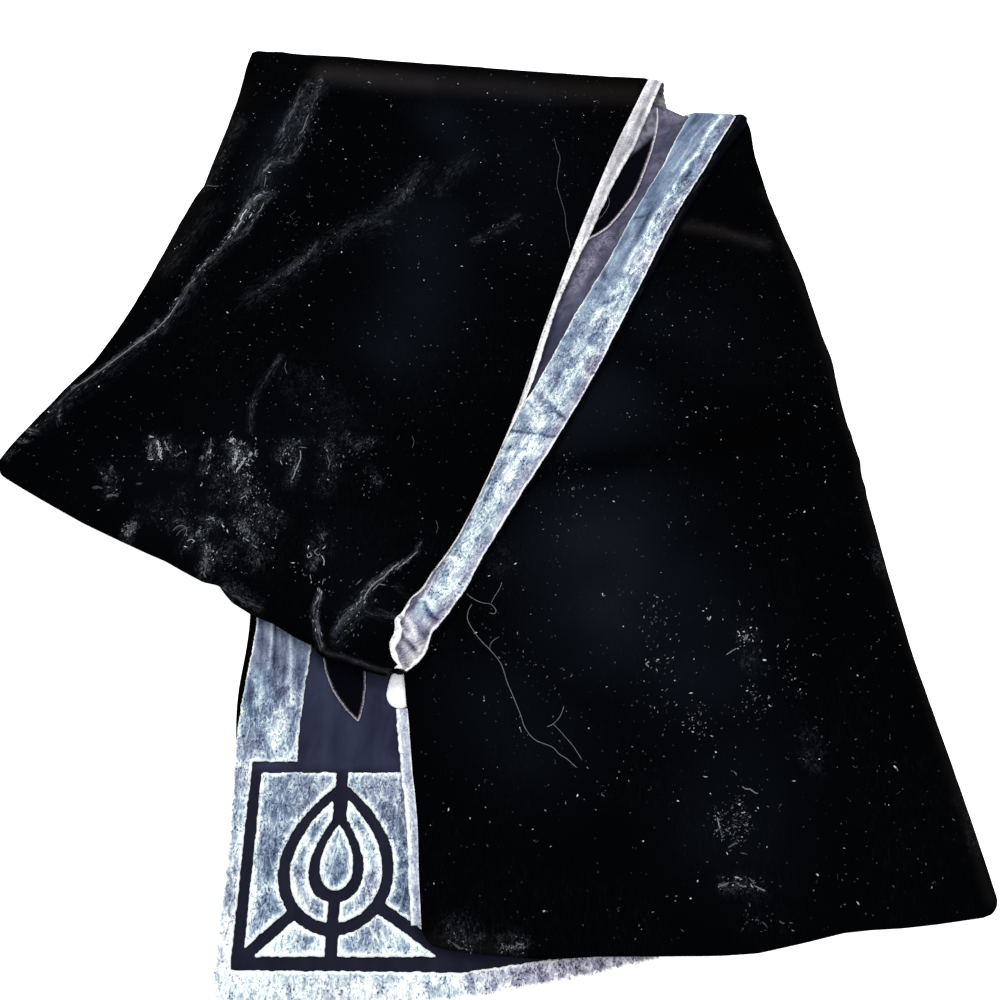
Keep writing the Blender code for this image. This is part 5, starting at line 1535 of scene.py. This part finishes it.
# Loose threads: stretch, brightness, radius (mm), points
THREADS = [
    (UPPER, 0.24, 0.17, [(472, 604), (468, 612), (468, 621), (475, 633), (483, 643), (490, 650), (501, 664),
        (507, 682), (513, 696), (517, 706), (521, 716), (525, 728), (535, 740), (552, 747), (559, 754), (567, 759),
        (577, 768)]),
    (UPPER, 0.22, 0.14, [(490, 650), (490, 646), (493, 641), (499, 637)]),
    (UPPER, 0.3, 0.14, [(466, 594), (475, 600), (483, 603), (490, 604), (494, 607), (496, 611), (494, 614),
        (490, 613)]),
    (UPPER, 0.26, 0.13, [(491, 603), (495, 596), (500, 588), (502, 582)]),
    (UPPER, 0.26, 0.14, [(564, 706), (562, 712), (559, 718), (553, 724), (547, 727)]),
    (UPPER, 0.24, 0.14, [(553, 724), (560, 731), (566, 738), (573, 746), (577, 752), (582, 760)]),
    (NECK, 0.13, 0.14, [(554, 138), (557, 150), (560, 158), (558, 172), (557, 186), (561, 200), (565, 215),
        (566, 228), (569, 240), (570, 248)]),
    (TURNED, 0.3, 0.1, [(608, 193), (609, 204), (603, 215), (595, 222)]),
    (NECK, 0.2, 0.12, [(286, 362), (285, 368), (287, 374)]),
    (NECK, 0.28, 0.12, [(172, 531), (178, 526), (184, 526), (187, 531), (184, 537)]),
    (NECK, 0.2, 0.11, [(176, 536), (182, 530), (190, 527)]), (NECK, 0.16, 0.11, [(412, 436), (414, 442), (412, 448)]),
    (NECK, 0.14, 0.11, [(436, 520), (438, 528), (436, 534)]),
]


def ridge_lines(level, width, pixels, rng):
    """A ridge, and where it is wide two broken ones beside it."""
    marks, wide = np.arange(len(pixels), dtype=float), width > 1.7
    column, row = np.array(pixels, float).T
    for side in (-0.35, 0.0, 0.35) if wide else (0.0,):
        first, last = (rng.uniform(0, 0.3), rng.uniform(0.6, 1.0)) if side else (0.0, 1.0)
        steps = np.linspace(first * marks[-1], last * marks[-1], 3 if len(pixels) < 3 else 3 * len(pixels))
        line = np.stack([np.interp(steps, marks, column), np.interp(steps, marks, row)], -1)
        line += rng.normal(0, 0.34 if wide else 0.16, line.shape) + side * width
        yield line, level * (rng.uniform(0.35, 0.85) if side else 1.0), width * (0.5 if wide else 1.0)


def crumb_lines(count, level, spread, direction, pixels, even, rng):
    """Short strokes scattered beside a line."""
    marks = np.arange(len(pixels), dtype=float)
    column, row = np.array(pixels, float).T
    for _ in range(count):
        at = rng.uniform(0, marks[-1])
        centre = np.array((np.interp(at, marks, column), np.interp(at, marks, row)))
        aim = math.radians(direction or 0) + rng.normal(0, 0.6)
        if direction is None:
            ends = min(at + 0.05, marks[-1]) - np.array((0.05, 0.0))
            run_y, run_x = np.interp(ends, marks, row), np.interp(ends, marks, column)
            aim = math.atan2(run_y[0] - run_y[1], run_x[1] - run_x[0]) + rng.normal(0, 0.25)
        centre += rng.normal(0, spread, 2)
        half = rng.uniform(0.4, 1.5) * (1.6 if direction is None else 1.0)
        reach = np.array((half * math.cos(aim), -half * math.sin(aim)))
        line = np.linspace(centre - reach, centre + reach, 3) + rng.normal(0, 0.2, (3, 2))
        own = level * (rng.uniform(0.6, 1.1) if even else rng.uniform() ** 3 * 2.6)
        yield line, min(0.015 + own, 1.0), rng.uniform(1.0, 1.8) if even else rng.uniform(0.7, 1.6)


PIXEL_RADIUS = EYE[2] / FOCAL * 0.62  # of a strand as wide as a pixel


def crushed_nap_sheen():
    """Short uneven strands that lie on the cloth: crushed nap, pale with painted sheen."""
    rng = np.random.default_rng(3)
    shapes = []
    for stretch in (NECK, UPPER):
        drawn = [stroke for ridge in RIDGES[stretch] for stroke in ridge_lines(*ridge, rng)]
        for table, even in ((CRUMBS, False), (PATCHES, True)):
            drawn += [stroke for crumbs in table[stretch] for stroke in crumb_lines(*crumbs, even, rng)]
        column, row = np.concatenate([line for line, _, _ in drawn]).T
        z = np.full(len(column), VIEW_HEIGHTS[stretch.order])
        for _ in range(3):
            x, y = seen((column, row), z)
            z = top_of(stretch, x, y)
        done = 0
        for line, level, width in drawn:
            own = slice(done, done + len(line))
            done += len(line)
            radius = width * PIXEL_RADIUS * rng.uniform(0.8, 1.15)
            shapes.append((*strand(np.stack([x[own], y[own], z[own] - 0.3 * radius], -1), radius), level))
    return shapes


lay("crushed_nap_sheen", crushed_nap_sheen())


def thread_shapes():
    for stretch, level, radius, pixels in THREADS:
        height, radius = VIEW_HEIGHTS[stretch.order], radius / 1000
        for _ in range(3):
            places = np.array([seen(pixel, height) for pixel in pixels]).T
            height = float(np.mean(top_of(stretch, *places)))
        marks = np.arange(len(pixels), dtype=float)
        fine = np.linspace(0, marks[-1], 4 * len(marks))
        x, y = (hermite(marks, line, fine) for line in places)
        z = top_of(stretch, x, y) + radius * (1.0 + 0.8 * noise(fine, 0 * fine, 2.3, 4))
        yield *strand(np.stack([x, y, z], -1), radius), level


lay("loose_threads", thread_shapes())

FLUFF_HEIGHT = 0.0095


def corner_fluff():
    """Dark fluff where the folds meet at the far right corner, and three loops of black thread above the label:
    its black loop, and the painted shadow of the fold over it.
    """
    rng = np.random.default_rng(5)
    for _ in range(260):
        share = rng.uniform()
        px = 652.5 + 9.0 * share + rng.uniform(0.0, 1.0) * (10 - 8 * share)
        x, y = seen((min(px, 663.0), 107 - 25 * share), FLUFF_HEIGHT)
        aim, line = rng.normal(0.9, 0.9), []
        z = rng.uniform(0.0070, 0.0098)
        for _ in range(4):
            line.append((x, y, z))
            x, y = x + 0.00026 * math.cos(aim), y + 0.00026 * math.sin(aim)
            z, aim = z + rng.uniform(-0.0002, 0.0002), aim + rng.normal(0, 0.4)
        level = rng.uniform(0.02, 0.16) if share > 0.4 else rng.uniform(0.16, 0.60)
        yield *strand(line, 0.00016), level
    # The label's black loop, three times over to paint the shadow of the fold above it
    for row in (667.1, 668.4, 669.6):
        bow = [seen((391.6 + 17.2 * part, row + 4.0 * math.sin(math.pi * part) - 0.8 * part), 0.006)
               for part in np.linspace(0, 1, 16)]
        yield *strand([(x, y, 0.0052) for x, y in bow], 0.00062), 0.0


lay("corner_fluff", corner_fluff())


def fluff_wear(x, y):
    """Dark at its top, and paler down to the satin."""
    top_y, foot_y = (seen((660, row), FLUFF_HEIGHT)[1] for row in (83, 108))
    down = np.clip((top_y - y) / (top_y - foot_y), 0, 1)
    return np.clip(0.03 + 0.30 * down**1.5 + 0.16 * down * noise(x, y, 0.0020, 2), 0.01, 0.6), 0.0, 0.0


FLUFF_OUTLINE = [(651, 107), (652.5, 100), (655.5, 93), (658, 87), (660.5, 81.5), (664, 81.5), (664.6, 87), (664.2, 93),
                 (665, 100), (667.5, 108.5), (659, 108)]
pile_piece("corner_tuft", viewed_outline(FLUFF_OUTLINE, FLUFF_HEIGHT), LINT_AND_SHEEN, (), cell=0.0005, low=0.0054, thick=0.0034,
           jag=0.0006, wear=fluff_wear, pale=0.0)

# ------------------------------------------------------------------ each sheet and the sheets below it; nothing is done with them

for sheet, stretch, below in (
    (lining, UNDER, []),
    (satin, UNDER, ["lining_under"]),
    (upper_cloth, UPPER, ["satin_under"]),
    (turned_satin, TURNED, ["velvet_upper"]),
    (neck_cloth, NECK, ["satin_turned"]),
):
    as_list(below)

# ------------------------------------------------------------------ floor, light and camera


def show(name, data, where):
    thing = bpy.data.objects.new(name, data)
    thing.location = where
    bpy.context.scene.collection.objects.link(thing)
    return thing


floor_data = bpy.data.meshes.new("floor")
floor_data.from_pydata([(-4, -4, 0), (4, -4, 0), (4, 4, 0), (-4, 4, 0)], [], [(0, 1, 2, 3)])
paper = Graph("floor_paper")
grain = paper.cloud(paper.spot(), (0.4,) * 3, 2, 0.5)
white = paper.mix(grain, (0.93, 0.93, 0.93), (0.96, 0.96, 0.96))
floor_data.materials.append(paper.finish(white, 0.9, Specular_IOR_Level=0.1, Emission_Color=(1.0, 1.0, 1.0, 1.0),
                                         Emission_Strength=0.6))
show("floor", floor_data, (0, 0, -0.0002))

world = bpy.data.worlds.new("studio")
bpy.context.scene.world = world
world.use_nodes = True
background = world.node_tree.nodes["Background"]
background.inputs[0].default_value = (1.0, 1.0, 1.0, 1.0)
background.inputs[1].default_value = 1.15


def lamp(name, where, size, power, colour):
    data = bpy.data.lights.new(name, "AREA")
    data.shape, data.size, data.energy, data.color = "SQUARE", size, power, colour
    show(name, data, where).rotation_euler = (-Vector(where)).to_track_quat("-Z", "Y").to_euler()


lamp("key", (-0.5, 0.9, 1.5), 0.8, 22, (1.0, 0.99, 0.97))
lamp("fill", (0.9, -0.6, 1.3), 1.2, 8, (0.96, 0.98, 1.0))

camera_data = bpy.data.cameras.new("view")
camera_data.sensor_width = 36.0
camera_data.lens = 36.0 * FOCAL / 1000
camera_data.clip_start = 0.01
camera = show("view", camera_data, (EYE[0] + CENTRING[0], EYE[1] + CENTRING[1], EYE[2]))
camera.rotation_euler = (math.pi / 2 - PITCH, 0, 0)
bpy.context.scene.camera = camera
bpy.context.scene.view_settings.view_transform = "Standard"
